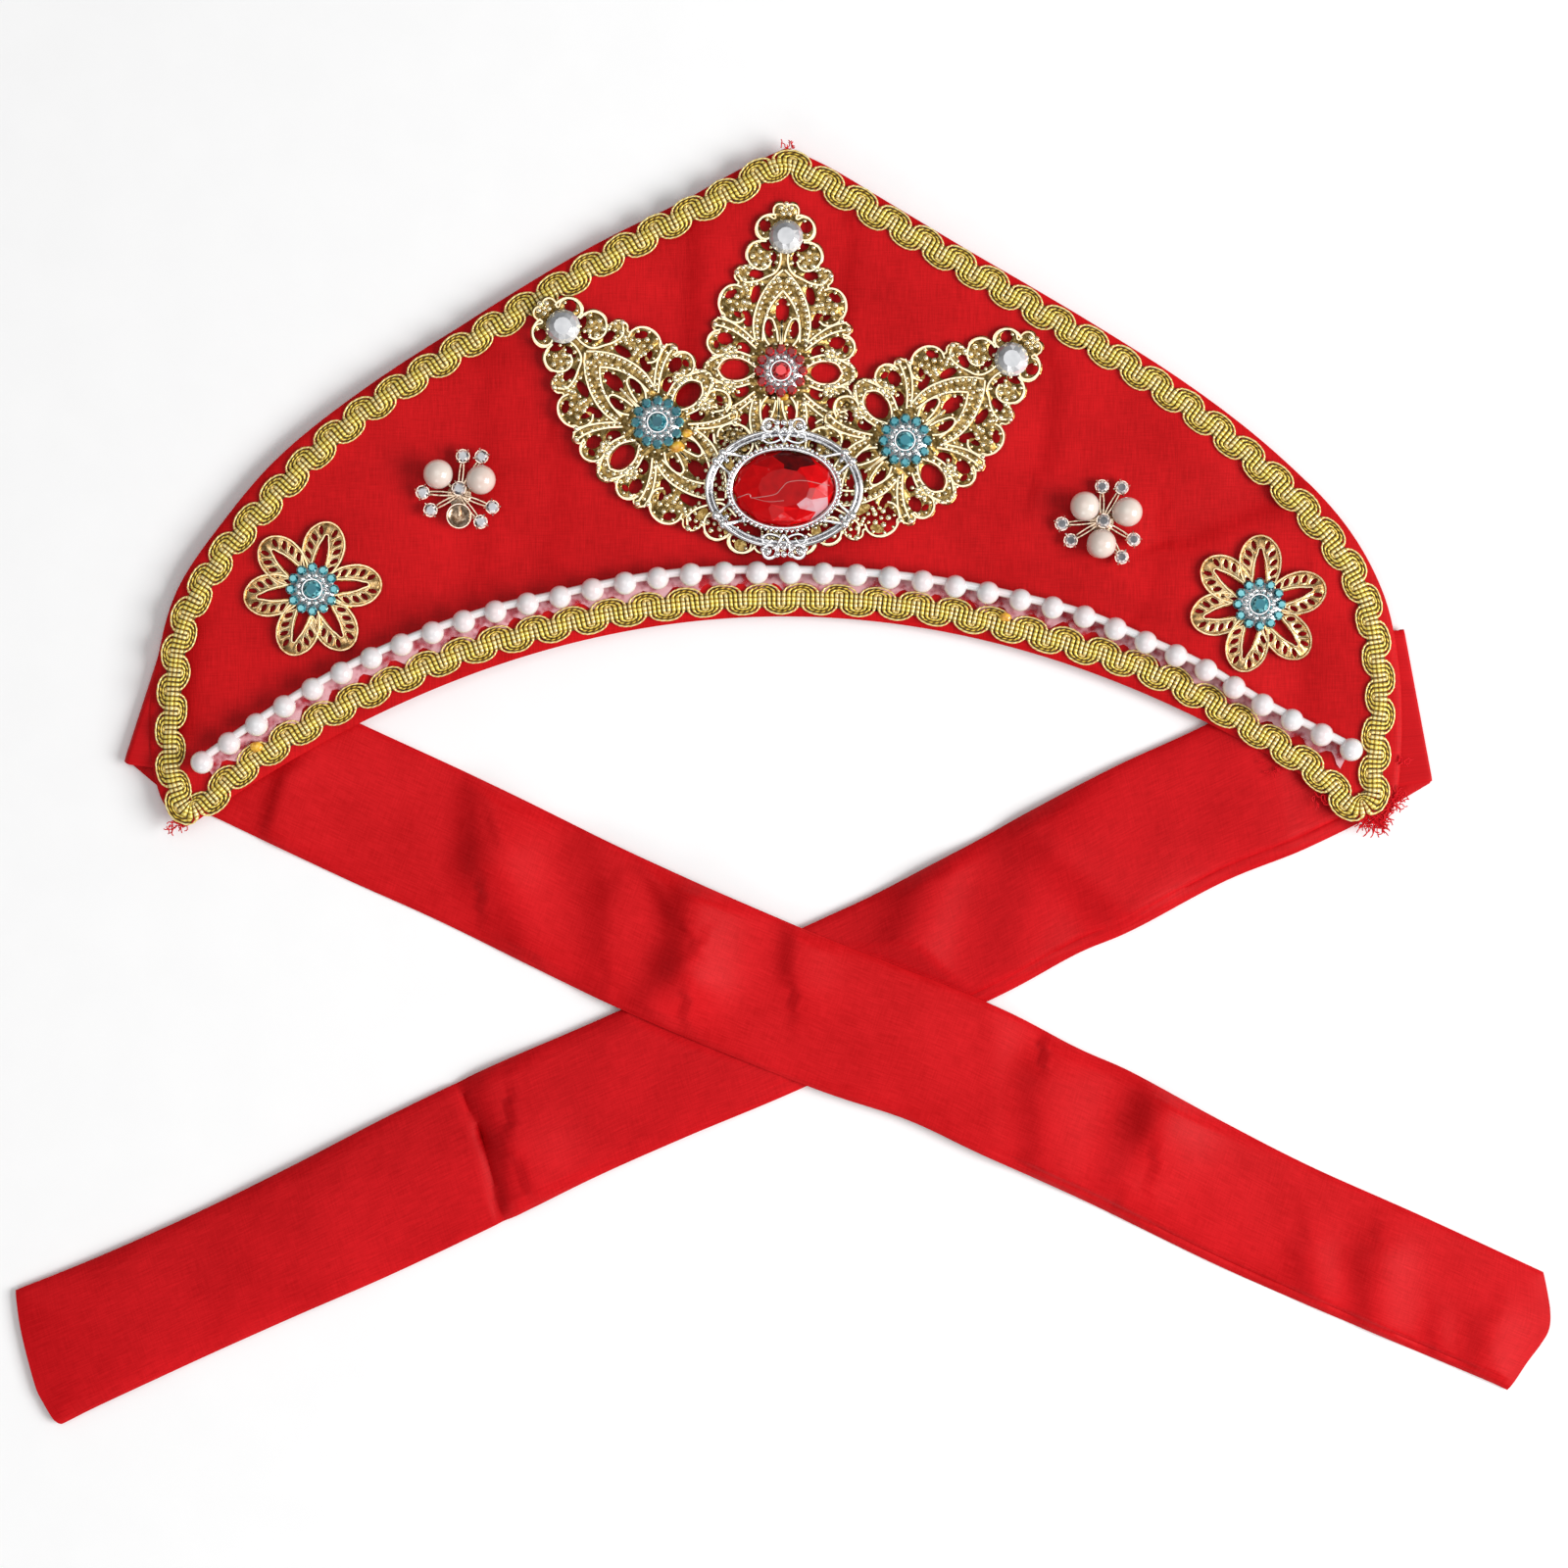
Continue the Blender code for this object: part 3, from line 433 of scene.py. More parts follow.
# lines pressed into cloth: from, to and the widths to their left and right in pixels, then height
panelCreases = (
    (478, 350, 470, 600, 70, 30, -0.80),
    (698, 195, 690, 390, 60, 18, -1.10),
    (862, 240, 850, 335, 40, 14, -0.80),
    (188, 630, 177, 740, 30, 15, -0.90),
    (1070, 385, 1058, 470, 45, 16, -0.95),
    (1300, 505, 1212, 545, 40, 14, -0.90),
    (1180, 550, 1165, 610, 40, 16, -0.60),
    (560, 470, 545, 590, 50, 24, -0.60),
    (1000, 520, 1015, 585, 50, 20, -0.50),
    (1330, 640, 1322, 720, 50, 22, -0.60),
)


def creaseLift(point, creases, strength):
    lift = 0.0
    for fromX, fromY, toX, toY, leftWidth, rightWidth, height in creases:
        start, end = spot(fromX, fromY), spot(toX, toY)
        run = end - start
        along = (point - start).dot(run) / run.length_squared
        away = (point - start).cross(run).z / run.length
        overrun = max(0.0, -along, along - 1.0) * run.length
        width = (leftWidth if away > 0 else rightWidth) * px
        fading = 8 * px + 0.8 * width
        lift += height * strength * math.exp(-((away / width) ** 2) - (overrun / fading) ** 2)
    return lift


# slow unevenness: waves are how often they come in a metre, and how high
def wander(point, waves):
    return sum(noise.noise(point * often) * high for often, high in waves)


# front panel: satin over a stiff core
panelPlan = {
    "leftSide": (
        (803, 150), (757, 171), (700, 202), (598, 254), (482, 324), (376, 393), (287, 463), (227, 532),
        (180, 602), (160, 671), (151, 741), (162, 810), (186, 845),
    ),
    "rightSide": (
        (803, 150), (848, 171), (900, 202), (987, 254), (1106, 324), (1214, 393), (1304, 463), (1371, 532),
        (1411, 602), (1427, 671), (1431, 741), (1426, 810), (1410, 845),
    ),
    "archMiddle": 800, "archHalf": 603, "archTop": 629, "archDrop": 211,
    "along": 300, "across": 96,
    "creaseHeight": 0.0016,
    "waves": ((28, 0.0005), (90, 0.00012)),
    "sunk": 0.0002,                  # how far the cloth lies under its highest allowed level
    "edgeDrop": 0.0009, "edgeWidth": 0.0012,
    "core": 0.0006,                  # how much less than the full thickness the core takes
}


def archLine(count):
    plan = panelPlan
    line = []
    for i in range(count + 1):
        share = 2 * i / count - 1
        down = plan["archTop"] + plan["archDrop"] * share**2
        line.append(spot(plan["archMiddle"] + share * plan["archHalf"], down))
    return smoothLine(line, count)[0]


def makePanel():
    plan = panelPlan
    along = plan["along"]
    left, right = (smoothLine(spots(plan[side]), along // 2)[0] for side in ("leftSide", "rightSide"))
    outer = left[::-1] + right[1:]
    arch = archLine(along)
    panel = gridOf(along, plan["across"])
    for vertex in panel.data.vertices:
        column = round((vertex.co.x + 0.5) * along)
        share = vertex.co.y + 0.5
        point = arch[column].lerp(outer[column], share)
        lift = creaseLift(point, panelCreases, plan["creaseHeight"]) + wander(point, plan["waves"])
        edge = min(share, 1 - share) * (outer[column] - arch[column]).length
        point.z = clothTop - plan["sunk"] + lift - plan["edgeDrop"] * math.exp(-edge / plan["edgeWidth"])
        vertex.co = point
    modified(panel, "SOLIDIFY", thickness=clothTop - panelLow.z - plan["core"], offset=-1.0)
    for vertex in panel.data.vertices:
        vertex.co.z = max(vertex.co.z, panelLow.z)
    satin = clothMaterial("redSatin", (0.42, 0.0015, 0.003), (0.64, 0.006, 0.009))
    finished(panel, "satinFront", "red_cloth", "front_panel", material=satin, sharpAngle=55)


makePanel()
print("panel made")

# gimp braid: a band of four metal cords that swings from side to side in a deep wave
braidPlan = {
    "route": (
        (800, 168), (753, 192), (651, 246), (551, 305), (451, 368), (352, 436), (264, 524), (215, 585),
        (184, 650), (174, 750), (178, 800), (193, 829), (218, 812), (250, 783), (320, 737), (400, 696),
        (500, 657), (650, 622), (800, 611), (950, 622), (1100, 660), (1200, 697), (1300, 758), (1345, 789),
        (1381, 824), (1400, 816), (1402, 780), (1405, 745), (1408, 700), (1392, 610), (1340, 530),
        (1250, 445), (1150, 373), (1050, 312), (950, 252), (850, 192),
    ),
    "period": 0.0112,
    "cords": (
        # offset from the band's middle, radius, height of its middle, as millimetres
        (-2.10, 0.66, 0.62), (-0.70, 0.66, 0.66), (0.70, 0.66, 0.66), (2.10, 0.66, 0.62),
    ),
    "arm": 0.0018,       # half of the straight stretch between two lobes
    "squash": 0.53,      # lobes are this flat
    "thin": 0.40,        # thickness of a cord at the top of a lobe
    "windings": 13,      # turns of thread round a cord in one wave
    "rowPitch": 0.0013,  # rows of stitches along the middle of the band
    "drop": 0.18,        # a cord lies this much lower at the top of a lobe, in millimetres
    "turning": 0.0013,   # from the arm's end to the top of a lobe
    # the backing and the dark cord below stand for backing threads and for painted shade in the gaps between
    # the lobes' arcs
    "backing": (0.0003, 0.0002, 12.0),      # height, radius, stretch across
    "under": (0.0013, 0.00022, 0.10),       # radius, height, flatness of the dark cord below
    "wobble": (260, 0.00022),               # how often in a metre, and how far
}


def cordPoints(offset, plan):
    half = plan["period"] / 2
    arm = plan["arm"]
    wide, narrow = half / 2 + offset, half / 2 - offset
    points = [Vector((-wide, 0, 0))]
    for centreX, centreY, radius, start, sweep in (
        (0.0, arm, wide, math.pi, -math.pi), (half, -arm, narrow, math.pi, math.pi),
    ):
        steps = max(4, round(radius / 0.0006) + 2)
        for i in range(steps + 1):
            turn = start + sweep * i / steps
            lobe = radius * math.sin(turn) * plan["squash"]
            points.append(Vector((centreX + radius * math.cos(turn), centreY + lobe, 0)))
    points.append(Vector((half + narrow, 0, 0)))
    return points


def makeBraid():
    plan = braidPlan
    route, length = smoothLine(spots(plan["route"]), 400, closed=True)
    waves = round(length / plan["period"])
    fit = length / (waves * plan["period"])
    step = plan["period"] * fit
    cords = []
    for offset, radius, height in plan["cords"]:
        points = cordPoints(offset * 0.001, plan)
        swells = []
        for point in points:
            outer = clamped((abs(point.y) - plan["arm"] * 0.8) / plan["turning"])
            point.x *= fit
            point.z = (height - plan["drop"] * outer) * 0.001
            swells.append(1.0 - (1.0 - plan["thin"]) * outer)
        cords.append(wire(points, radius * 0.001, smooth=False, swells=swells))
    height, radius, stretch = plan["backing"]
    backing = wire([(-0.001, 0, height), (step - 0.001, 0, height)], radius, smooth=False)
    for vertex in backing.data.vertices:
        vertex.co.y *= stretch
    radius, height, flatness = plan["under"]
    under = wire([(point.x * fit, point.y, 0) for point in cordPoints(0.0, plan)], radius, smooth=False)
    for vertex in under.data.vertices:
        vertex.co.z = height + flatness * vertex.co.z
    parts = [backing, under, *cords]
    for part, number in zip(parts, (2, 2, 0, 1, 1, 0)):
        part.data.materials.append(braidMaterials[number])
    band = joined(parts)
    across = band.data.attributes.new("across", "FLOAT", "POINT")
    for vertex, item in zip(band.data.vertices, across.data):
        item.value = vertex.co.y
    modified(
        band, "ARRAY", count=waves, use_relative_offset=False, use_constant_offset=True,
        constant_offset_displace=(step, 0, 0), use_merge_vertices=True, merge_threshold=0.00004,
    )
    track = added(bpy.ops.curve.primitive_bezier_curve_add)
    track.data.dimensions = "2D"
    track.data.splines.clear()
    line = track.data.splines.new("POLY")
    line.points.add(len(route) - 2)
    for knot, point in zip(line.points, route):
        knot.co = (point.x, point.y, 0, 1)
    line.use_cyclic_u = True
    modified(band, "CURVE", object=track, deform_axis="POS_X")
    removed(track)
    noise.seed_set(3)  # the same wobble in every run
    phase = Vector((random.Random(3).random() * 10, 0, 0))
    often, high = plan["wobble"]
    for vertex in band.data.vertices:
        vertex.co += noise.noise_vector(vertex.co * often + phase) * high
        vertex.co.z = clothTop + max(0.00002, vertex.co.z + 0.0001)
    finished(band, "gimpBraid", "gold_thread", "edge_braid", sharpAngle=70)


# wound thread along the cords and rows of stitches along the middle of the band, with painted shade in their
# grooves and over the lower lobes
def cordMaterial(name, dark, middle, bright, lobePaintedShade):
    made, tree, shader = newMaterial(name, Metallic=0.40, Roughness=0.32)
    place = put(tree, "SeparateXYZ", {0: put(tree, "UVMap", uv_map="UVMap").outputs["UV"]}).outputs
    along = worked(tree, "MULTIPLY", place["X"], float(braidPlan["windings"]))
    lean = worked(tree, "ADD", along, place["Y"])
    ridges = worked(tree, "SINE", worked(tree, "MULTIPLY", lean, 2 * math.pi))
    across = attribute(tree, "across")
    rows = worked(tree, "COSINE", worked(tree, "MULTIPLY", across, 2 * math.pi / braidPlan["rowPitch"]))
    offMiddle = worked(tree, "ABSOLUTE", across)
    atCore = ranged(tree, offMiddle, 0.0020, 0.0027, 0.72, 0.0)
    # windings and stitch rows turned into colour, bright on the ridges and dark in the grooves: painted
    # shade
    height = ranged(tree, ridges, -1.0, 1.0, 0.42, 1.0)
    stitched = mixed(tree, atCore, height, ranged(tree, rows, -1.0, 0.4, 0.0, 1.0))
    uneven = mixed(tree, 0.30, stitched, clouds(tree, 700.0))
    # the lobes lie lower and are darkened: painted shade
    shade = worked(tree, "SUBTRACT", uneven, ranged(tree, offMiddle, 0.0024, 0.0034, 0.0, lobePaintedShade))
    colour = tinted(tree, shade, (0.16, dark), (0.44, middle), (0.78, bright))
    bump = put(tree, "Bump", {"Strength": 0.8, "Distance": 0.00018, "Height": stitched})
    feed(tree, shader, {"Base Color": colour, "Normal": bump.outputs["Normal"]})
    return made


braidMaterials = (
    cordMaterial("paleCord", (0.20, 0.085, 0.010), (0.92, 0.64, 0.17), (1.0, 0.88, 0.42), 0.04),
    cordMaterial("goldCord", (0.15, 0.070, 0.004), (0.92, 0.63, 0.075), (1.0, 0.87, 0.26), 0.36),
    # dark backing threads, also painted shade in the gaps between the arcs
    cloudyMaterial("braidBackingShade", 1500.0, 2.0, (0.4, (0.03, 0.012, 0.003)), (0.65, (0.20, 0.11, 0.02)),
                   Metallic=0.3, Roughness=0.7),
)
makeBraid()
print("braid made")

# ties: flattened sewn tubes of cloth, folded under the panel's sides, crossing below the arch
tiePlans = {
    "leftTie": {
        "node": "tie_left",
        "upper": (
            (172, 652), (270, 693), (370, 740), (500, 800), (650, 873), (820, 948), (1005, 1022),
            (1100, 1070), (1158, 1096), (1250, 1146), (1340, 1192), (1450, 1241), (1578, 1300),
        ),
        "lower": (
            (131, 779), (175, 814), (225, 838), (350, 897), (450, 942), (628, 1028), (822, 1108),
            (925, 1143), (1000, 1178), (1110, 1228), (1250, 1296), (1400, 1361), (1515, 1409), (1541, 1421),
        ),
        "sewn": ((280, 640), (255, 795)),
        "end": (
            (1541, 1421), (1549, 1411), (1561, 1393), (1576, 1373), (1584, 1358), (1585, 1340),
            (1582, 1320), (1578, 1300),
        ),
        "creases": (
            (291, 795, 274, 852, 9, 40, 1.0), (496, 785, 492, 880, 22, 45, 1.8),
            (515, 880, 540, 955, 32, 50, 1.6), (628, 915, 622, 965, 18, 40, 0.6),
            (655, 870, 690, 930, 10, 40, 0.8), (708, 925, 702, 990, 24, 45, 2.2),
            (690, 992, 668, 1022, 22, 40, 1.3), (815, 945, 812, 990, 14, 40, 1.5),
            (1066, 1110, 1068, 1200, 26, 60, 2.1), (1190, 1098, 1182, 1150, 24, 50, 1.5),
            (1180, 1145, 1152, 1205, 30, 50, 1.9), (1338, 1282, 1346, 1320, 18, 30, 1.1),
            (1405, 1290, 1404, 1350, 22, 36, 1.5), (1468, 1362, 1472, 1385, 10, 20, 0.6),
            (1522, 1360, 1512, 1398, 20, 30, 1.0), (1250, 1180, 1235, 1240, 60, 60, 0.4),
            (900, 1050, 880, 1110, 50, 60, 0.4),
        ),
        "seam": (0.062, 0.62, 1.0),
        "colours": ((0.48, 0.002, 0.004), (0.66, 0.008, 0.012)),
    },
    "rightTie": {
        "node": "tie_right",
        "upper": (
            (1432, 643), (1330, 692), (1225, 745), (1140, 784), (1050, 832), (975, 873), (900, 912),
            (822, 948), (635, 1033), (500, 1092), (400, 1140), (300, 1192), (200, 1241), (100, 1286),
            (14, 1320),
        ),
        "lower": (
            (1461, 798), (1420, 822), (1390, 838), (1330, 866), (1250, 898), (1150, 950), (1095, 974),
            (1005, 1022), (822, 1108), (700, 1159), (600, 1203), (500, 1252), (400, 1299), (300, 1342),
            (200, 1387), (100, 1433), (60, 1453),
        ),
        "sewn": ((1345, 640), (1375, 810)),
        "end": (
            (60, 1453), (53, 1450), (42, 1432), (35, 1418), (25, 1383), (18, 1352), (14, 1320),
        ),
        "creases": (
            (955, 880, 925, 975, 30, 40, 1.9), (1052, 833, 1148, 927, 26, 70, 1.7),
            (1062, 890, 1040, 985, 40, 50, 1.2), (466, 1108, 491, 1160, 5, 6, -0.8),
            (491, 1160, 510, 1240, 5, 6, -0.9), (497, 1104, 520, 1165, 18, 60, 1.2),
            (524, 1170, 528, 1236, 16, 60, 1.4), (330, 1180, 300, 1340, 90, 90, 0.8),
            (120, 1290, 110, 1410, 60, 80, 0.7), (640, 1060, 620, 1180, 60, 90, 0.5),
            (1270, 770, 1290, 860, 50, 70, 0.5),
        ),
        "seam": (0.085, 0.0, 0.50),
        # darker than the left tie's colours: painted shade for the weaker sheen of threads that run another
        # way
        "colours": ((0.44, 0.0015, 0.004), (0.62, 0.006, 0.010)),
    },
}
tieShared = {
    "along": 300, "across": 52,
    "finer": 1.18,           # rows lie closer together near the lower edge, where the seam is
    "thickness": 0.0011,
    "fold": 0.0018,          # from layer to layer where the tie is folded
    "hidden": 0.030,         # length folded under the front
    "sewnSteps": 18, "foldSteps": 10, "riseSteps": 28,
    "endSteps": 14, "endPoints": 40,
    "creaseHeight": 0.0019, "creaseEdge": 0.35, "creaseReach": 0.006,
    "waves": ((24, 0.00045), (75, 0.00014)),
    "puff": 0.0013, "puffReach": 0.0065,
    "seamDepth": 0.0006, "seamWidth": 0.0005, "seamStep": 0.0003, "seamFade": 0.04,
    "edgeDrop": 0.45, "edgeWidth": 0.0007,
    "underFront": 0.0029, "pastFront": 0.0006, "slopeFront": 0.5,
    "crossing": ((628, 1028), (822, 948), (1005, 1022), (822, 1108)),
    "layer": 0.003105, "layerFade": 0.011,   # how much higher the upper tie lies there
    "underTie": 0.0019, "pastTie": 0.001, "slopeTie": 0.6,
}


# how far a point lies past the edge of the arch, clear of the front
def pastArch(point):
    plan = panelPlan
    across = (point.x - panelLow.x) / px + panelCorner[0]
    down = (panelHigh.y - point.y) / px + panelCorner[1]
    share = (across - plan["archMiddle"]) / plan["archHalf"]
    return (down - plan["archTop"] - plan["archDrop"] * share**2) * px


# how far outside the four sides of the crossing a point lies
def awayFrom(point, corners):
    away = 0.0
    for a, b in zip(corners, corners[1:] + corners[:1]):
        run = b - a
        away = max(away, run.cross(point - a).z / run.length)
    return away


# a dip along the seam, and a small step down beside it
def seamDrop(plan, progress, share, width):
    place, start, end = plan["seam"]
    if not start < progress < end:
        return 0.0
    shared = tieShared
    away = (share - place) * width
    dip = shared["seamDepth"] * math.exp(-((away / shared["seamWidth"]) ** 2))
    step = shared["seamStep"] / (1 + math.exp(away / shared["seamStep"]))
    return clamped(min(progress - start, end - progress) / shared["seamFade"]) * (dip + step)


def makeTie(name, plan):
    shared = tieShared
    along, thickness = shared["along"], shared["thickness"]
    hidden = shared["sewnSteps"] + shared["foldSteps"]
    free = along - hidden
    upper, length = smoothLine(spots(plan["upper"]), free)
    lower = smoothLine(spots(plan["lower"]), free)[0]
    sewnUpper, sewnLower = spots(plan["sewn"])
    outside = ((upper[0] + lower[0]) / 2 - (upper[8] + lower[8]) / 2).normalized()
    crossing = spots(shared["crossing"])
    endLine = smoothLine(spots(plan["end"]), shared["endPoints"])[0]
    width = (upper[free // 2] - lower[free // 2]).length
    tie = gridOf(along, shared["across"])
    places = {}
    for vertex in tie.data.vertices:
        column = round((vertex.co.x + 0.5) * along)
        share = (vertex.co.y + 0.5) ** shared["finer"]
        step = max(0, column - hidden)
        point = lower[step].lerp(upper[step], share)
        lift = thickness
        if column < shared["sewnSteps"]:
            point = sewnLower.lerp(sewnUpper, share).lerp(point, column / shared["sewnSteps"])
            lift += shared["fold"]
        elif column < hidden:
            turn = math.pi * (column - shared["sewnSteps"]) / shared["foldSteps"]
            radius = shared["fold"] / 2
            point += outside * radius * math.sin(turn)
            lift += radius + radius * math.cos(turn)
        else:
            if step > free - shared["endSteps"]:
                onEnd = share * shared["endPoints"]
                before = min(shared["endPoints"] - 1, int(onEnd))
                reach = endLine[before].lerp(endLine[before + 1], onEnd - before)
                reach -= lower[-1].lerp(upper[-1], share)
                point += reach * ((step - free + shared["endSteps"]) / shared["endSteps"]) ** 2
            edge = min(share * width, (1 - share) * width, (free - step) * length / free)
            creases = creaseLift(point, plan["creases"], shared["creaseHeight"])
            swell = creases * min(1.0, shared["creaseEdge"] + edge / shared["creaseReach"])
            swell += shared["puff"] * (1 - math.exp(-edge / shared["puffReach"]))
            swell += wander(point, shared["waves"])
            lift += swell * min(1.0, step / shared["riseSteps"]) ** 2    # flat under the sewn part
            lift -= seamDrop(plan, step / free, share, width)
            clear = max(0.0, pastArch(point) - shared["pastFront"])
            lift = min(lift, shared["underFront"] + shared["slopeFront"] * clear)
            if name == "leftTie":
                aside = max(crossing[0].x - point.x, point.x - crossing[2].x, 0.0)
                lift += shared["layer"] * math.exp(-((aside / shared["layerFade"]) ** 2))
            else:
                clear = max(0.0, awayFrom(point, crossing) - shared["pastTie"])
                lift = min(lift, shared["underTie"] + shared["slopeTie"] * clear)
        edge = min(share, 1 - share) * width
        lift -= thickness * shared["edgeDrop"] * math.exp(-((edge / shared["edgeWidth"]) ** 2))
        point.z = lift
        places[vertex.index] = (point, share * width, length * step / free)
    for vertex in tie.data.vertices:
        vertex.co = places[vertex.index][0]
    sheet = tie.data.uv_layers[0]
    sheet.name = "clothLay"
    for loop in tie.data.loops:
        sheet.data[loop.index].uv = places[loop.vertex_index][1:]
    modified(tie, "SOLIDIFY", thickness=thickness, offset=-1.0)
    for vertex in tie.data.vertices:
        vertex.co.z = max(vertex.co.z, 0.0)
    cloth = clothMaterial(name + "Cloth", *plan["colours"], uvName="clothLay", thread=2300.0)
    finished(tie, name, "red_cloth", plan["node"], material=cloth, sharpAngle=60)


for tieName, tiePlan in tiePlans.items():
    makeTie(tieName, tiePlan)
print("ties made")

# metals, stones and beads of the ornaments
champagneGold, flowerGold, roseGold, silverMetal = [metalMaterial(*row) for row in (
    # name, colours low, halfway and high in the relief (painted shade up to painted light), roughness
    ("champagneGold", (0.22, 0.125, 0.028), (0.74, 0.54, 0.22), (1.0, 0.89, 0.62), 0.24),
    ("flowerGold", (0.10, 0.042, 0.012), (0.66, 0.41, 0.17), (1.0, 0.82, 0.50), 0.25),
    ("roseGold", (0.20, 0.11, 0.06), (0.78, 0.60, 0.44), (1.0, 0.88, 0.78), 0.22),
    ("silverMetal", (0.08, 0.08, 0.09), (0.70, 0.70, 0.72), (0.98, 0.98, 0.98), 0.18),
)]


def stoneMaterial(name, metallic, coat, specular, *stops):
    made, tree, shader = newMaterial(name, Metallic=metallic, Roughness=0.12, Coat_Roughness=0.03)
    # colour from the facets' painted reflections, with faint clouds
    shade = mixed(tree, 0.22, attribute(tree, "facet"), clouds(tree, 420.0))
    colour = tinted(tree, shade, *stops)
    feed(tree, shader, {"Base Color": colour, "Coat Weight": coat, "Specular IOR Level": specular})
    return made


def pearlMaterial(name, cool, warm, roughness=0.24, spread=0.06):
    made, tree, shader = newMaterial(name, Coat_Weight=1.0, Coat_Roughness=0.08)
    cloudy = clouds(tree, 130.0, 3.0)
    gloss = ranged(tree, cloudy, 0.0, 1.0, roughness - spread, roughness + spread)
    feed(tree, shader, {"Base Color": tinted(tree, cloudy, (0.35, cool), (0.70, warm)), "Roughness": gloss})
    return made


clearStone, redStone, ovalRed, tealStone, crackWhite = [stoneMaterial(*row) for row in (
    # name, metallic, coat, specular, then the colours of dark to bright facets, as painted reflections and
    # shade
    ("clearStone", 0.35, 0.15, 0.3,
     (0.15, (0.10, 0.10, 0.11)), (0.4, (0.48, 0.49, 0.51)), (0.8, (0.97, 0.97, 0.98))),
    ("redStone", 0.1, 0.3, 0.5,
     (0.1, (0.04, 0.002, 0.003)), (0.5, (0.55, 0.004, 0.008)), (0.9, (0.88, 0.06, 0.07))),
    ("ovalRed", 0.0, 0.0, 0.12,
     (0.08, (0.025, 0.003, 0.003)), (0.4, (0.30, 0.001, 0.002)), (0.72, (0.72, 0.004, 0.006)),
     (0.88, (0.62, 0.33, 0.36))),
    ("tealStone", 0.2, 0.3, 0.5,
     (0.1, (0.003, 0.045, 0.065)), (0.5, (0.015, 0.23, 0.29)), (0.88, (0.24, 0.66, 0.70))),
    ("crackWhite", 0.0, 0.6, 0.5, (0.3, (0.55, 0.25, 0.24)), (0.6, (0.80, 0.60, 0.58))),
)]
beadWhite = pearlMaterial("beadWhite", (0.79, 0.78, 0.79), (0.86, 0.72, 0.72))
pearlCream = pearlMaterial("pearlCream", (0.79, 0.70, 0.62), (0.80, 0.61, 0.53))


# a flat-backed cut stone of unit size; each row is reach, height and whether it is turned half a facet
def cutStone(sides, rows, seed):
    stone = added(bpy.ops.mesh.primitive_circle_add, vertices=sides, radius=1.0, fill_type="NGON")
    bpy.ops.object.mode_set(mode="EDIT")
    bpy.ops.mesh.select_all(action="SELECT")
    reachNow, heightNow = 1.0, 0.0
    for reach, height, turned in rows:
        bpy.ops.mesh.extrude_region_move(TRANSFORM_OT_translate={"value": (0, 0, height - heightNow)})
        bpy.ops.transform.resize(value=(reach / reachNow, reach / reachNow, 1), center_override=(0, 0, 0))
        if turned:
            bpy.ops.transform.rotate(value=math.pi / sides, orient_axis="Z", center_override=(0, 0, 0))
        reachNow, heightNow = reach, height
    bpy.ops.mesh.select_all(action="SELECT")
    bpy.ops.mesh.normals_make_consistent(inside=False)
    bpy.ops.object.mode_set(mode="OBJECT")
    shape = bmesh.new()
    shape.from_mesh(stone.data)
    bmesh.ops.triangulate(shape, faces=[face for face in shape.faces if len(face.verts) == 4])
    shape.to_mesh(stone.data)
    shape.free()
    # a random painted brightness for each facet: painted reflections of the foil under the stone
    rng = random.Random(seed)
    shades = stone.data.attributes.new("facet", "FLOAT", "FACE").data
    for face in sorted(stone.data.polygons, key=lambda face: [round(c, 3) for c in face.center]):
        shades[face.index].value = rng.random()  # faces are numbered otherwise in every run
    return stone


# gives the facets that face one way a painted brightness: painted light, shade and reflections by the way
# they face, and a painted table
def shadeFacets(stone, place, table, evenness, shades):
    for item, face in zip(stone.data.attributes["facet"].data, stone.data.polygons):
        away = face.center - place
        turn = math.degrees(math.atan2(away.y, away.x))
        item.value = evenness + (1 - 1.4 * evenness) * item.value
        for toward, spread, shade in shades:
            if abs((turn - toward + 180) % 360 - 180) < spread:
                item.value = shade + 0.12 * (item.value - 0.6)
        if face.normal.z > 0.99:
            item.value = table


brilliant = ((1.0, 0.16, False), (0.84, 0.60, True), (0.56, 1.0, True))
smallCut = ((1.0, 0.2, False), (0.62, 1.0, True))


# string of moulded beads, with thin necks high between them and clear glue under them
beadPlan = {
    "route": (
        (208, 778), (263, 740), (318, 705), (378, 673), (440, 647), (505, 625), (571, 610), (637, 596),
        (705, 587), (773, 585), (840, 586), (907, 590), (974, 599), (1041, 613), (1106, 630), (1166, 655),
        (1227, 683), (1284, 718), (1345, 749), (1377, 765),
    ),
    "pitch": 0.0095, "radius": 0.00342, "neck": 0.00125, "neckShift": 0.0009,
    "glueReach": 0.0062, "glueHeight": 0.0016, "glueSteps": 240,
}


def glueMaterial():
    made, tree, shader = newMaterial("driedGlue", Roughness=0.18, Coat_Weight=0.5)
    cloudy = clouds(tree, 210.0, roughness=0.7)
    colour = tinted(tree, cloudy, (0.35, (0.62, 0.12, 0.17)), (0.6, (0.84, 0.46, 0.50)))
    feed(tree, shader, {"Base Color": colour, "Alpha": ranged(tree, cloudy, 0.36, 0.56, 0.10, 0.72)})
    return made


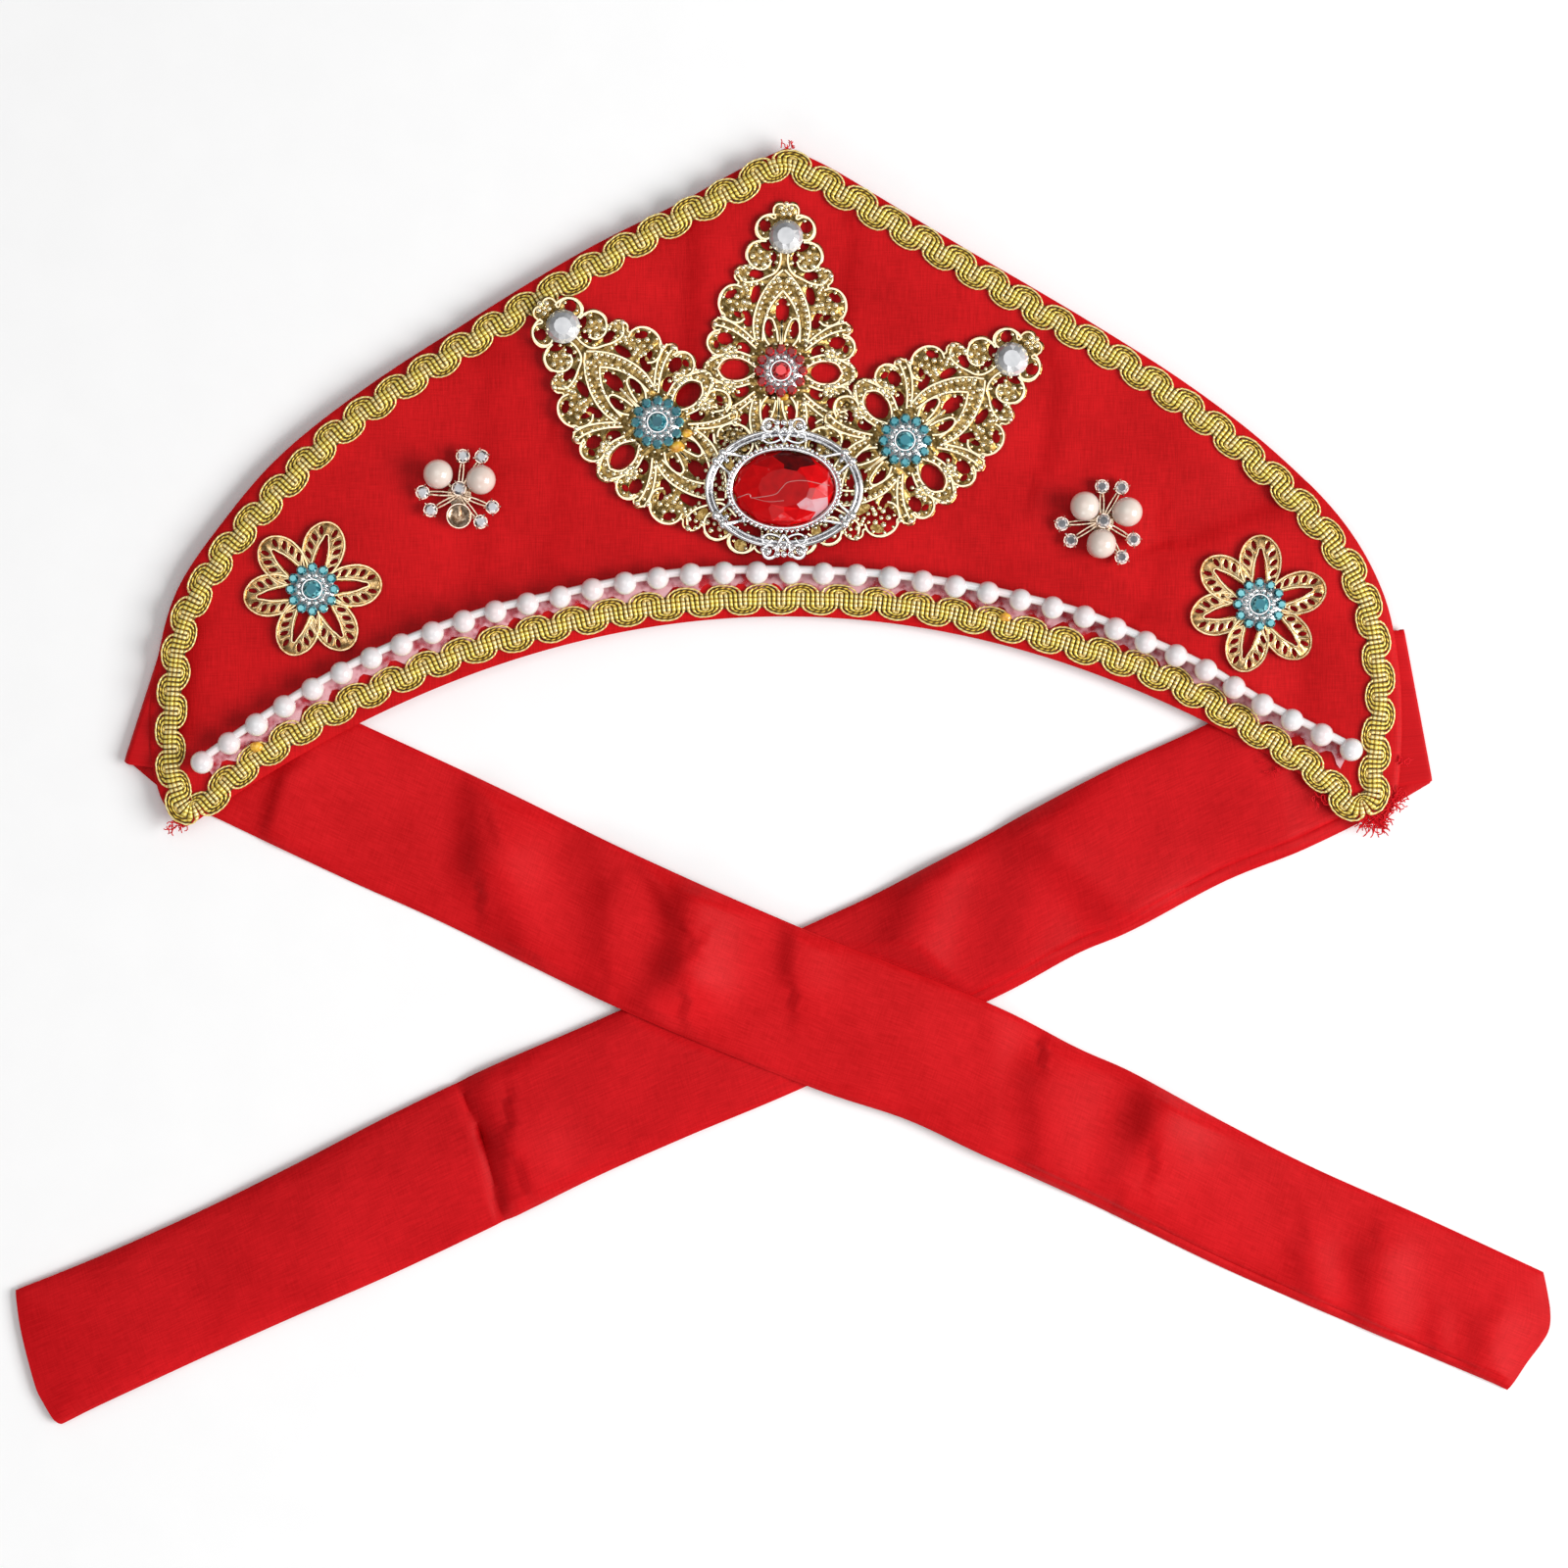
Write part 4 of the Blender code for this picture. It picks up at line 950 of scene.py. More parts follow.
def makeBeads():
    plan = beadPlan
    route = spots(plan["route"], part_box("pearl_string")[0].z + plan["radius"])
    count = int(smoothLine(route, 10)[1] / plan["pitch"])
    middles = smoothLine(route, count)[0]
    rng = random.Random(11)
    bead = ball(plan["radius"], segments=24, rings=14)
    beads = [copied(bead, middle, size=rng.uniform(0.97, 1.0)) for middle in middles]
    removed(bead)
    upper = []
    for before, here, after in zip([middles[0], *middles], middles, [*middles[1:], middles[-1]]):
        run = (after - before).normalized()
        upper.append(here + Vector((-run.y, run.x, 0)) * plan["neckShift"])
    string = joined([wire(upper, plan["neck"], sides=2), *beads])
    finished(string, "beadString", "white_pearl", "pearl_string", material=beadWhite, sharpAngle=60)

    steps = plan["glueSteps"]
    film = gridOf(steps, 6)
    line = smoothLine(spots(plan["route"]), steps)[0]
    for vertex in film.data.vertices:
        column = round((vertex.co.x + 0.5) * steps)
        share = 0.5 - vertex.co.y
        run = (line[min(steps, column + 1)] - line[max(0, column - 1)]).normalized()
        atBead = 0.5 + 0.5 * math.cos(2 * math.pi * column / steps * count)
        reach = plan["glueReach"] * (0.45 + 0.55 * atBead)
        point = line[column] + Vector((run.y, -run.x, 0)) * reach * share
        point.z = seat + plan["glueHeight"] * (1 - share) ** 2 * (0.4 + 0.6 * atBead)
        vertex.co = point
    modified(film, "SOLIDIFY", thickness=0.00012, offset=-1.0)
    finished(film, "glueFilm", "white_pearl", material=glueMaterial(), sharpAngle=80)


makeBeads()
print("beads made")

# pierced leaves: one quarter is drawn, in pixels across and towards the tip, and mirrored
leafPlan = {
    "leaves": (
        # node, middle in the photograph, turn in degrees, lift in mm at waist, inner end and tip
        ("filigree_leaf_top", (796, 379), -2.2, (0.0, 0.0, 0.0)),
        ("filigree_leaf_left", (669, 435), 43.5, (1.5, 1.5, 1.9)),
        ("filigree_leaf_right", (923, 451), -52.2, (1.5, 3.0, 0.0)),
    ),
    "halfLength": 170, "bend": 0.6,
    "outline": (
        (0, 170), (6, 173), (12, 170), (13, 163), (11, 158), (18, 160), (26, 157), (31, 149), (30, 140),
        (25, 134), (33, 132), (39, 125), (40, 116), (36, 109), (44, 107), (50, 102), (51, 95), (47, 89),
        (55, 87), (62, 81), (66, 71), (65, 61), (60, 54), (67, 52), (72, 47), (71, 41), (65, 38), (72, 36),
        (77, 28), (75, 19), (69, 14), (75, 9), (79, 0),
    ),
    "holes": (
        # middle across and up, half width, half height, turn in degrees
        (0, 62, 7, 13, 0), (13, 43, 4.2, 10, -12), (57, 31, 8.5, 6.5, 10), (38, 22, 8.0, 5.5, 30),
        (28, 78, 4.5, 10, 12), (36, 53, 5.0, 9.5, -20), (28, 98, 8.0, 4.5, 0), (18, 128, 8, 5, 30),
        (53, 77, 7.0, 4.2, -35), (46, 0, 15, 10, 0), (21, 148, 6.0, 6.5, 0), (11, 114, 3.2, 8, 0),
        (44, 56, 6.0, 3.0, 20), (66, 25, 3.0, 4.5, 0),
    ),
    "wires": (
        ((10, 159), (17, 159), (25, 155), (29, 147), (27, 138), (21, 134), (14, 136)),
        ((19, 132), (29, 131), (36, 125), (38, 116), (34, 108), (26, 103), (17, 105), (13, 112)),
        ((4, 124), (4, 110), (8, 101), (18, 95), (30, 90), (40, 90), (46, 96)),
        ((1, 103), (9, 95), (18, 83), (26, 65), (29, 46), (26, 28)),
        ((0, 82), (7, 74), (14, 62), (18, 48), (19, 30)),
        ((0, 52), (0, 40), (1, 24)),
        ((3, 30), (6, 44), (13, 54), (18, 48), (17, 34), (12, 26)),
        ((38, 52), (44, 48), (55, 50), (63, 59), (65, 70), (60, 81), (50, 86), (42, 84)),
        ((70, 45), (56, 42), (40, 34), (25, 22)),
        ((66, 52), (54, 49), (40, 41), (24, 27)),
        ((62, 40), (70, 37), (75, 29), (73, 20), (66, 14), (56, 15)),
        ((25, 3), (36, 10), (47, 12), (58, 9), (64, 0)),
        ((30, 14), (46, 18), (62, 13), (76, 5)),
    ),
    "wireRadius": 1.75,
    "florets": ((25, 114, 7.5), (47, 67, 7.5), (52, 18, 5.5), (0, 165, 5.5)),
    "floretBall": 3.3,
    "balls": (
        (48, 99, 3.6), (42, 104, 3.0), (68, 45, 3.8), (61, 53, 3.0), (36, 105, 2.4), (40, 92, 3.0),
        (34, 68, 2.8), (4, 92, 3.2), (0, 46, 2.4),
    ),
    "grainRows": (
        # spacing, radius, then the points along the row
        (6.4, 2.9, ((6, 95), (14, 85), (20, 73), (24, 60), (26, 46), (24, 33))),
        (6.2, 2.6, ((3, 86), (9, 77), (14, 66), (16, 57))),
        (6.4, 2.8, ((46, 14.5), (36, 12.5), (28, 7), (26, 0))),
        (6.4, 2.8, ((46, 14.5), (57, 12), (65, 6), (67, 0))),
        (6.0, 2.5, ((42, 23), (52, 22), (62, 20), (70, 12), (74, 3))),
        (6.2, 2.6, ((33, 104), (38, 97), (41, 90), (36, 80), (36, 71), (38, 62))),
        (6.0, 2.3, ((14, 126), (14, 118), (17, 108), (24, 104))),
        (6.0, 2.4, ((50, 41), (41, 36), (32, 31), (25, 27))),
        (6.4, 2.5, ((22, 88), (30, 88), (38, 84))),
    ),
    "grainRadius": 2.2, "grainSpacing": 6.2,   # fill the plate where nothing else is drawn
    "seed": 5,
    "height": 0.00055,     # metres above the leaf's back
    "relief": (0.00040, 0.00100),
}


def mirroredFour(points):
    right = list(points) + [(x, -y) for x, y in reversed(points[:-1])]
    return right + [(-x, y) for x, y in reversed(right[1:-1])]


def inside(place, ring):
    hit = False
    for (ax, ay), (bx, by) in zip(ring, ring[1:] + ring[:1]):
        if (ay > place[1]) != (by > place[1]) and place[0] < ax + (bx - ax) * (place[1] - ay) / (by - ay):
            hit = not hit
    return hit


def ovalRing(x, y, wide, high, turnDegrees=0.0, steps=8):
    turn = math.radians(turnDegrees)
    ring = []
    for i in range(steps):
        angle = 2 * math.pi * i / steps
        across, rise = wide * math.cos(angle), high * math.sin(angle)
        ring.append((x + across * math.cos(turn) - rise * math.sin(turn),
                     y + across * math.sin(turn) + rise * math.cos(turn)))
    return ring


def nearest(place, others):
    return min(math.hypot(place[0] - x, place[1] - y) for x, y in others)


# pixels to metres, at a height
def metres(points, height=0.0):
    return [(x * px, y * px, height) for x, y in points]


def makeLeaves():
    plan = leafPlan
    outline = mirroredFour(plan["outline"])
    holes = []
    for x, y, wide, high, turn in plan["holes"]:
        sides = [(sx, sy) for sx in ((1, -1) if x else (1,)) for sy in ((1, -1) if y else (1,))]
        holes += [ovalRing(sx * x, sy * y, wide, high, turn * sx * sy) for sx, sy in sides]
    plate = cutSheet(metres(outline), [metres(hole) for hole in holes], 0.00016, 0.00008, 0.00028)
    radius = plan["wireRadius"] * px
    rim = [(x * 0.972, y * 0.985) for x, y in plan["outline"]]
    wires = [
        wire(metres(line, plan["height"] + 0.00006 * (number % 3)), radius)
        for number, line in enumerate(plan["wires"])
    ]
    wires.append(wire(metres(rim, plan["height"] - 0.00005), radius * 0.9))
    grains = list(plan["balls"])
    for x, y, reach in plan["florets"]:
        grains.append((x, y, 2.6))
        for at in (outward(math.radians(72 * i + 18), reach) for i in range(5)):
            if x + at.x > -1:
                grains.append((x + at.x, y + at.y, plan["floretBall"]))
    for spacing, size, row in plan["grainRows"]:
        points = [Vector((x, y, 0)) for x, y in row]
        count = max(2, round(smoothLine(points, 4)[1] / spacing))
        grains += [(point.x, point.y, size) for point in smoothLine(points, count)[0]]
    rng = random.Random(plan["seed"])
    chosen = [(x, y) for x, y, size in grains]
    taken = [(point.x, point.y) for line in plan["wires"]
             for point in smoothLine([Vector((x, y, 0)) for x, y in line], 30)[0]] + rim
    quarterHoles = [ring for ring in holes if min(sum(x for x, y in ring), sum(y for x, y in ring)) > -1]
    for attempt in range(5000):
        place = (rng.uniform(1.5, 80), rng.uniform(1.5, 172))
        if not inside(place, outline) or any(inside(place, ring) for ring in quarterHoles):
            continue
        if nearest(place, outline) < 3.0 or min(nearest(place, ring) for ring in quarterHoles) < 1.6:
            continue
        if nearest(place, chosen) < plan["grainSpacing"] or nearest(place, taken) < 2.6:
            continue
        chosen.append(place)
        grains.append((*place, plan["grainRadius"] * rng.uniform(0.8, 1.15)))
    grain = added(bpy.ops.mesh.primitive_ico_sphere_add, subdivisions=2, radius=1.0)
    balls = [copied(grain, (x * px, y * px, plan["height"]), size=size * px) for x, y, size in grains]
    removed(grain)
    quarter = joined(balls + wires)
    modified(quarter, "MIRROR", use_axis=(True, True, False), use_mirror_merge=False)
    leaf = joined([quarter, plate])
    keepRelief(leaf, *plan["relief"])
    for node, middle, turn, lifts in plan["leaves"]:
        waist, innerEnd, tip = [lift * 0.001 for lift in lifts]
        bent = copied(leaf)
        for vertex in bent.data.vertices:
            share = min(1.0, abs(vertex.co.y) / (plan["bend"] * plan["halfLength"] * px))
            vertex.co.z += waist + ((tip if vertex.co.y > 0 else innerEnd) - waist) * share
        placeApplied(laid(bent, spot(*middle, seat), math.radians(turn)))
        name = node.replace("filigree_leaf", "piercedLeaf")
        finished(bent, name, "pale_gold", node, material=champagneGold, sharpAngle=50)
    removed(leaf)


makeLeaves()


def middleOf(node):
    lowest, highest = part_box(node)
    return Vector(((lowest.x + highest.x) / 2, (lowest.y + highest.y) / 2, lowest.z))


# round clear stones near the leaves' tips
crystalCut = ((1.0, 0.10, False), (0.80, 0.62, True), (0.50, 1.0, True))
# painted light and shade on the crystals' facets by the way they face: direction, spread, brightness
crystalShades = ((-40, 26, 0.98), (135, 50, 0.30), (190, 24, 0.45), (60, 22, 0.34))


def makeCrystals():
    for number, name in enumerate(("crystal_top", "crystal_left", "crystal_right")):
        lowest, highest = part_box(name)
        radius = (highest.x - lowest.x) / 2
        stone = cutStone(14, crystalCut, 20 + number)
        placeApplied(laid(stone, middleOf(name), number * 0.4, (radius, radius, highest.z - lowest.z)))
        shadeFacets(stone, middleOf(name), 0.50, 0.45, crystalShades)
        piece = name.replace("crystal", "clearCrystal")
        finished(stone, piece, "clear_stone", name, material=clearStone, sharpAngle=2)


makeCrystals()

# clusters: twelve small stones round a ring of grains round a middle stone
rosettePlan = {
    "nodes": (
        ("rosette_top", "red_stone"), ("rosette_left", "teal_stone"), ("rosette_right", "teal_stone"),
        ("flower_rosette_left", "teal_stone"), ("flower_rosette_right", "teal_stone"),
    ),
    "stones": 12,
    "stoneReach": 0.00635, "stoneRadius": 0.00148,
    "grainReach": 0.0041, "grainRadius": 0.00100,
    "middleRadius": 0.0027, "middleBase": 0.0012,
    "stoneBase": 0.0006, "stoneHeight": 0.0013,
    "prong": ((0.80, 0.0008), (1.18, 0.0007)),     # shares of the stones' reach, and heights
    "prongRadius": 0.00022,
    "grainHeight": 0.0013,
    "collarReach": 0.0029, "collarHeight": 0.0011, "collarRadius": 0.0003,
    "disc": (0.00025, 0.0001, 0.0004),             # half thickness, rounding, height
    "turn": 0.26,
}


def makeRosettes():
    plan = rosettePlan
    reach = plan["stoneReach"]
    for number, (node, slotName) in enumerate(plan["nodes"]):
        colour = redStone if slotName == "red_stone" else tealStone
        place = middleOf(node)
        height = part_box(node)[1].z - place.z
        small = cutStone(8, smallCut, 40 + number)
        bead = ball(1.0, segments=8, rings=5)
        stones, metal = [], []
        for i in range(plan["stones"]):
            turn = 2 * math.pi * (i + 0.5) / plan["stones"]
            sizes = (plan["stoneRadius"], plan["stoneRadius"], plan["stoneHeight"])
            stones.append(copied(small, outward(turn, reach, plan["stoneBase"]), turn + i, sizes))
            prong = [outward(turn, reach * share, rise) for share, rise in plan["prong"]]
            metal.append(wire(prong, plan["prongRadius"], smooth=False))
            grainAt = outward(2 * math.pi * i / plan["stones"], plan["grainReach"], plan["grainHeight"])
            metal.append(copied(bead, grainAt, size=plan["grainRadius"]))
        middle = cutStone(10, brilliant, 60 + number)
        sizes = (plan["middleRadius"], plan["middleRadius"], height - plan["middleBase"])
        stones.append(copied(middle, up(plan["middleBase"]), size=sizes))
        metal.append(cutSheet(ovalRing(0, 0, reach, reach, steps=16), [], *plan["disc"]))
        ring = ovalRing(0, 0, plan["collarReach"], plan["collarReach"], steps=12)
        collar = [(x, y, plan["collarHeight"]) for x, y in ring]
        metal.append(wire(collar, plan["collarRadius"], closed=True))
        removed(small, bead, middle)
        cluster, setting = joined(stones), joined(metal)
        keepRelief(setting, 0.0001, 0.0016)
        for piece in (cluster, setting):
            placeApplied(laid(piece, place, plan["turn"]))
        finished(cluster, node + ".stones", slotName, node, material=colour, sharpAngle=2)
        finished(setting, node + ".setting", "silver", node, material=silverMetal, sharpAngle=50)


makeRosettes()
print("stones made")

# silver oval mount: a double ring, a beaded inner rim, bows at top and bottom, bulbs between
ovalPlan = {
    "ringHalf": (78.3, 58.8), "innerHalf": (73.8, 54.5), "ringRadius": 2.6,
    "rimHalf": (57.2, 43.4), "rimGrains": 66, "rimGrainRadius": 2.1,
    "collarHalf": (54.0, 40.5), "collarRadius": 0.00075,
    "bulbs": (33, 147, 213, 327),       # degrees round the ring
    "bulbFoot": (59.0, 45.0), "bulbNear": (69.0, 52.0),
    "loop": ((0, 47), (5, 55), (6, 62), (12, 70), (20, 68), (20, 60), (12, 58), (7, 64)),
    "curl": ((3, 50), (10, 47), (18, 47), (22, 52), (17, 56), (12, 52)),
    "bowGrains": ((7, 67, 3.6), (16, 64, 4.2), (10, 60, 2.6), (22, 62, 2.6), (4, 57, 2.4), (22, 49, 2.2)),
    "stoneHalf": (52.0, 38.6),
    "cut": ((1.0, 0.16, False), (0.88, 0.50, True), (0.62, 0.84, True), (0.50, 1.0, False)),
    "tableShade": 0.50,
    "crack": (
        (
            (745, 512), (757, 508), (765, 506), (768, 510), (790, 507), (797, 501), (803, 495), (812, 493),
            (822, 493), (838, 496), (846, 497),
        ),
        ((768, 510), (784, 514), (800, 513)),
    ),
    "stoneShades": (
        # direction in degrees, spread, painted brightness of the facets that way
        (70, 24, 0.04), (180, 40, 0.72), (225, 30, 0.62), (-34, 13, 0.98), (28, 14, 0.66), (115, 18, 0.55),
    ),
}


def onOval(half, turn, height=0.0):
    return Vector((half[0] * px * math.cos(turn), half[1] * px * math.sin(turn), height))


def makeOval():
    plan = ovalPlan
    place = spot(800, 500, middleOf("oval_frame").z)
    turns = [2 * math.pi * i / 40 for i in range(40)]
    metal = [
        wire([onOval(half, turn, height) for turn in turns], radius, closed=True, sides=2)
        for half, height, radius in (
            (plan["ringHalf"], 0.0011, plan["ringRadius"] * px),
            (plan["innerHalf"], 0.0009, plan["ringRadius"] * px * 0.8),
            (plan["collarHalf"], 0.0012, plan["collarRadius"]),
        )
    ]
    bead = ball(1.0, segments=8, rings=6)

    def grainAt(x, y, height, radius):
        metal.append(copied(bead, (x * px, y * px, height), size=radius * px))

    for i in range(plan["rimGrains"]):
        at = onOval(plan["rimHalf"], 2 * math.pi * i / plan["rimGrains"], 0.0022)
        metal.append(copied(bead, at, size=plan["rimGrainRadius"] * px))
    for degrees in plan["bulbs"]:
        for offset in (-5.0, 5.0):
            knob = onOval(plan["ringHalf"], math.radians(degrees + offset), 0.0019)
            metal.append(copied(bead, knob, size=(0.0015, 0.0015, 0.0012)))
            foot = onOval(plan["bulbFoot"], math.radians(degrees + offset * 2.6), 0.0013)
            metal.append(wire([knob, knob.lerp(foot, 0.5) + up(0.0002), foot], 0.0005))
            grainAt(foot.x / px, foot.y / px, 0.0015, 2.6)
        metal.append(copied(bead, onOval(plan["bulbNear"], math.radians(degrees), 0.0013), size=0.0008))
    for side in (1, -1):
        for flip in (1, -1):
            for points, height, radius in ((plan["loop"], 0.0017, 0.00055), (plan["curl"], 0.0013, 0.00042)):
                metal.append(wire(metres([(flip * x, side * y) for x, y in points], height), radius))
            for x, y, size in plan["bowGrains"]:
                grainAt(flip * x, side * y, 0.0021, size)
        grainAt(0, side * 67, 0.0021, 3.4)
        grainAt(0, side * 60, 0.0019, 3.0)
    removed(bead)
    mount = joined(metal)
    keepRelief(mount, 0.0002, 0.0026)
    placeApplied(laid(mount, place))
    finished(mount, "ovalMount", "silver", "oval_frame", material=silverMetal, sharpAngle=50)

    stone = cutStone(12, plan["cut"], 73)
    lowest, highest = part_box("oval_stone")
    sizes = (plan["stoneHalf"][0] * px, plan["stoneHalf"][1] * px, highest.z - lowest.z)
    placeApplied(laid(stone, (place.x, place.y, lowest.z), size=sizes))
    shadeFacets(stone, place, plan["tableShade"], 0.42, plan["stoneShades"])
    crack = []
    for number, line in enumerate(plan["crack"]):
        rays = [stone.ray_cast(at + up(0.05), up(-1)) for at in smoothLine(spots(line), 40)[0]]
        crack.append(wire([ray[1] for ray in rays if ray[0]], 0.00011 - 0.00003 * number, sides=0))
    crack = joined(crack)
    finished(stone, "ovalStone", "red_stone", "oval_stone", material=ovalRed, sharpAngle=2)
    finished(crack, "stoneCrack", "red_stone", material=crackWhite)


makeOval()
print("oval mount made")

# pierced flowers: one petal is drawn, in pixels out from the flower's middle, and copied
flowerPlan = {
    "flowers": (
        # node, middle, petal turns in degrees
        ("petal_flower_left", (319.5, 601.5), (75, 5, -58, -110, 188, 136)),
        ("petal_flower_right", (1284, 617), (88, 16, -47, -106, 193, 142)),
    ),
    "petal": (
        (10, 3), (17, 12), (28, 19), (42, 22), (54, 20.5), (64, 14), (69.5, 5),
    ),
    "slot": ((19, 5.0), (30, 5.8), (42, 4.8), (51, 2.8), (58, 0)),
    "holes": ((24, 12.4), (33, 13.8), (43, 13.8), (52, 12.0), (60.5, 7.0)),
    "holeHalf": (5.0, 2.5),
    "lean": 42,              # degrees between the bars and the petal's width
    "petalLength": 70, "petalHalf": 22, "dome": 0.0006,
}


def makeFlowers():
    plan = flowerPlan
    outline, slot = list(plan["petal"]), list(plan["slot"])
    outline += [(x, -y) for x, y in reversed(outline)]
    slot += [(x, -y) for x, y in reversed(slot[:-1])]
    holes, bars = [], []
    for side in (1, -1):
        lean = (90 - plan["lean"]) * side
        for number, (x, y) in enumerate(plan["holes"]):
            turn = lean if number < 4 else 20 * side
            holes.append(ovalRing(x, side * y, *plan["holeHalf"], turn, steps=6))
        reach = outward(math.radians(lean), 5.2 * px)
        for (ax, ay), (bx, by) in zip(plan["holes"], plan["holes"][1:]):
            middle = Vector(((ax + bx) / 2 * px, (ay + by) / 2 * side * px, 0.00062))
            bars.append((middle - reach, middle + reach))
    parts = [
        cutSheet(metres(outline), [metres(ring) for ring in (slot, *holes)], 0.00022, 0.00012, 0.00034),
        wire(metres([(x, y * 0.94) for x, y in outline], 0.00072), 1.5 * px, closed=True),
        wire(metres([(x, y * 1.28) for x, y in slot], 0.00068), 1.25 * px, closed=True),
        *[wire(bar, 0.9 * px, smooth=False) for bar in bars],
    ]
    petal = joined(parts)
    for vertex in petal.data.vertices:
        along = vertex.co.x / (plan["petalLength"] * px)
        across = vertex.co.y / (plan["petalHalf"] * px)
        vertex.co.z += plan["dome"] * math.sin(math.pi * min(1.0, along)) * (1 - 0.6 * across**2)
    keepRelief(petal, 0.0002, 0.0016)
    for node, middle, petalTurns in plan["flowers"]:
        petals = []
        for number, turn in enumerate(petalTurns):
            petals.append(copied(petal, up(0.00015 * (number % 2)), math.radians(turn)))
        flower = placeApplied(laid(joined(petals), spot(*middle, seat)))
        name = node.replace("petal_flower", "petalFlower")
        finished(flower, name, "pale_gold", node, material=flowerGold, sharpAngle=50)
    removed(petal)


makeFlowers()
print("flowers made")

# brooches: pearls in cups and small stones in claws, on paired wires round a hub
broochPlan = {
    "brooches": (
        # node, hub, middle stone, small stones, cups
        ("brooch_left", (469, 505), (469, 499),
         ((473, 466), (492, 466.5), (432, 503), (440, 521), (503, 518), (491, 533)),
         ((449, 486), (492, 491), (469, 527))),
        ("brooch_right", (1124, 532), (1125.6, 532),
         ((1124, 497), (1144, 498), (1083, 535), (1092, 552), (1156, 551), (1144, 569)),
         ((1105, 519), (1147, 524), (1121, 557))),
    ),
    "pearls": ("brooch_left_pearl_1", "brooch_left_pearl_2",
               "brooch_right_pearl_1", "brooch_right_pearl_2", "brooch_right_pearl_3"),
    "cut": ((1.0, 0.25, False), (0.60, 1.0, True)),
    "stoneRadius": 0.00185, "stoneBase": 0.0021, "gemBase": 0.0022,
    "claw": ((1.12, -0.0008), (1.18, 0.0003), (0.86, 0.0009)),    # shares of the radius, and heights
    "clawRadius": 0.00042,
    "wireRadius": 0.00034, "wireGap": 0.00085,
    "hub": 0.0011, "armRadius": 0.0006,
    "cupRadius": 0.0037, "cupHeight": 0.0023, "cupWall": 0.0003,
}


def openCup(radius, height, wall):
    disc = bpy.ops.mesh.primitive_cylinder_add
    cup = placeApplied(added(disc, vertices=28, radius=radius * 0.7, depth=0.0004, location=(0, 0, 0.0002)))
    bpy.ops.object.mode_set(mode="EDIT")
    bpy.ops.mesh.select_all(action="DESELECT")
    bpy.ops.object.mode_set(mode="OBJECT")
    for face in cup.data.polygons:
        face.select = face.normal.z > 0.9
    bpy.ops.object.mode_set(mode="EDIT")
    bpy.ops.mesh.select_mode(type="FACE")
    for lift, grow in ((0.35, 1.28), (0.4, 1.10), (0.0, 0.0), (-0.4, 0.92), (-0.25, 0.6)):
        if not grow:
            bpy.ops.mesh.inset(thickness=wall, depth=0)    # the rim, before the way down
            continue
        bpy.ops.mesh.extrude_region_move(TRANSFORM_OT_translate={"value": (0, 0, height * lift)})
        bpy.ops.transform.resize(value=(grow, grow, 1), center_override=(0, 0, 0))
    bpy.ops.object.mode_set(mode="OBJECT")
    return cup


# a stone's cone with four claws, and the pair of wires that holds it
def stoneMount(plan, at, radius, number, hubAt, wired):
    metal = [placeApplied(added(
        bpy.ops.mesh.primitive_cone_add, vertices=12, radius1=radius * 0.6, radius2=radius * 1.12,
        depth=0.0015, location=at - up(0.0007),
    ))]
    for claw in range(4):
        out = outward(math.pi * (claw / 2 + 0.25) + number, radius)
        points = [at + out * share + up(height) for share, height in plan["claw"]]
        metal.append(wire(points, plan["clawRadius"], smooth=False))
    run = at - hubAt
    aside = Vector((-run.y, run.x, 0)).normalized() * plan["wireGap"] / 2
    for side in (aside, -aside) if wired else ():
        halfway = hubAt.lerp(at, 0.5) + side * 1.3 - up(0.0004)
        metal.append(wire([hubAt + side * 0.4, halfway, at + side * 0.6 - up(0.0012)], plan["wireRadius"]))
    return metal


def makeBrooches():
    plan = broochPlan
    for number, (node, hub, gem, smallStones, cups) in enumerate(plan["brooches"]):
        hubAt = spot(*hub, seat + plan["hub"])
        small = cutStone(8, plan["cut"], 90 + number)
        metal, stones = [], []
        for index, pixel in enumerate((*smallStones, gem)):
            isGem = pixel is gem
            radius = plan["stoneRadius"] * (1.05 if isGem else 1.0)
            at = spot(*pixel, seat + plan["gemBase" if isGem else "stoneBase"])
            stones.append(copied(small, at, index * 0.7, (radius, radius, 0.0011)))
            metal += stoneMount(plan, at, radius, index, hubAt, not isGem)
        removed(small)
        for pixel in cups:
            cup = openCup(plan["cupRadius"], plan["cupHeight"], plan["cupWall"])
            metal.append(placeApplied(laid(cup, spot(*pixel, seat))))
            arm = [hubAt - up(0.0005), spot(*pixel, seat + 0.0006)]
            metal.append(wire(arm, plan["armRadius"], smooth=False))
        plate = cutSheet(ovalRing(0, 0, 0.0034, 0.0034, steps=12), [], 0.0003, 0.00012, 0.0)
        metal.append(placeApplied(laid(plate, hubAt - up(0.0004))))
        mount = joined(metal)
        keepRelief(mount, seat, seat + 0.0031)
        name = node.replace("brooch_", "broochMount.")
        finished(mount, name, "pale_gold", node, material=roseGold, sharpAngle=45)
        name = node.replace("brooch_", "broochStones.")
        finished(joined(stones), name, "clear_stone", node, material=clearStone, sharpAngle=2)
    for node in plan["pearls"]:
        lowest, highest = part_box(node)
        pearl = ball((highest.z - lowest.z) / 2, (lowest + highest) / 2, 28, 18)
        name = node.replace("brooch_", "pearl.")
        finished(pearl, name, "white_pearl", node, material=pearlCream, sharpAngle=60)


makeBrooches()
print("brooches made")

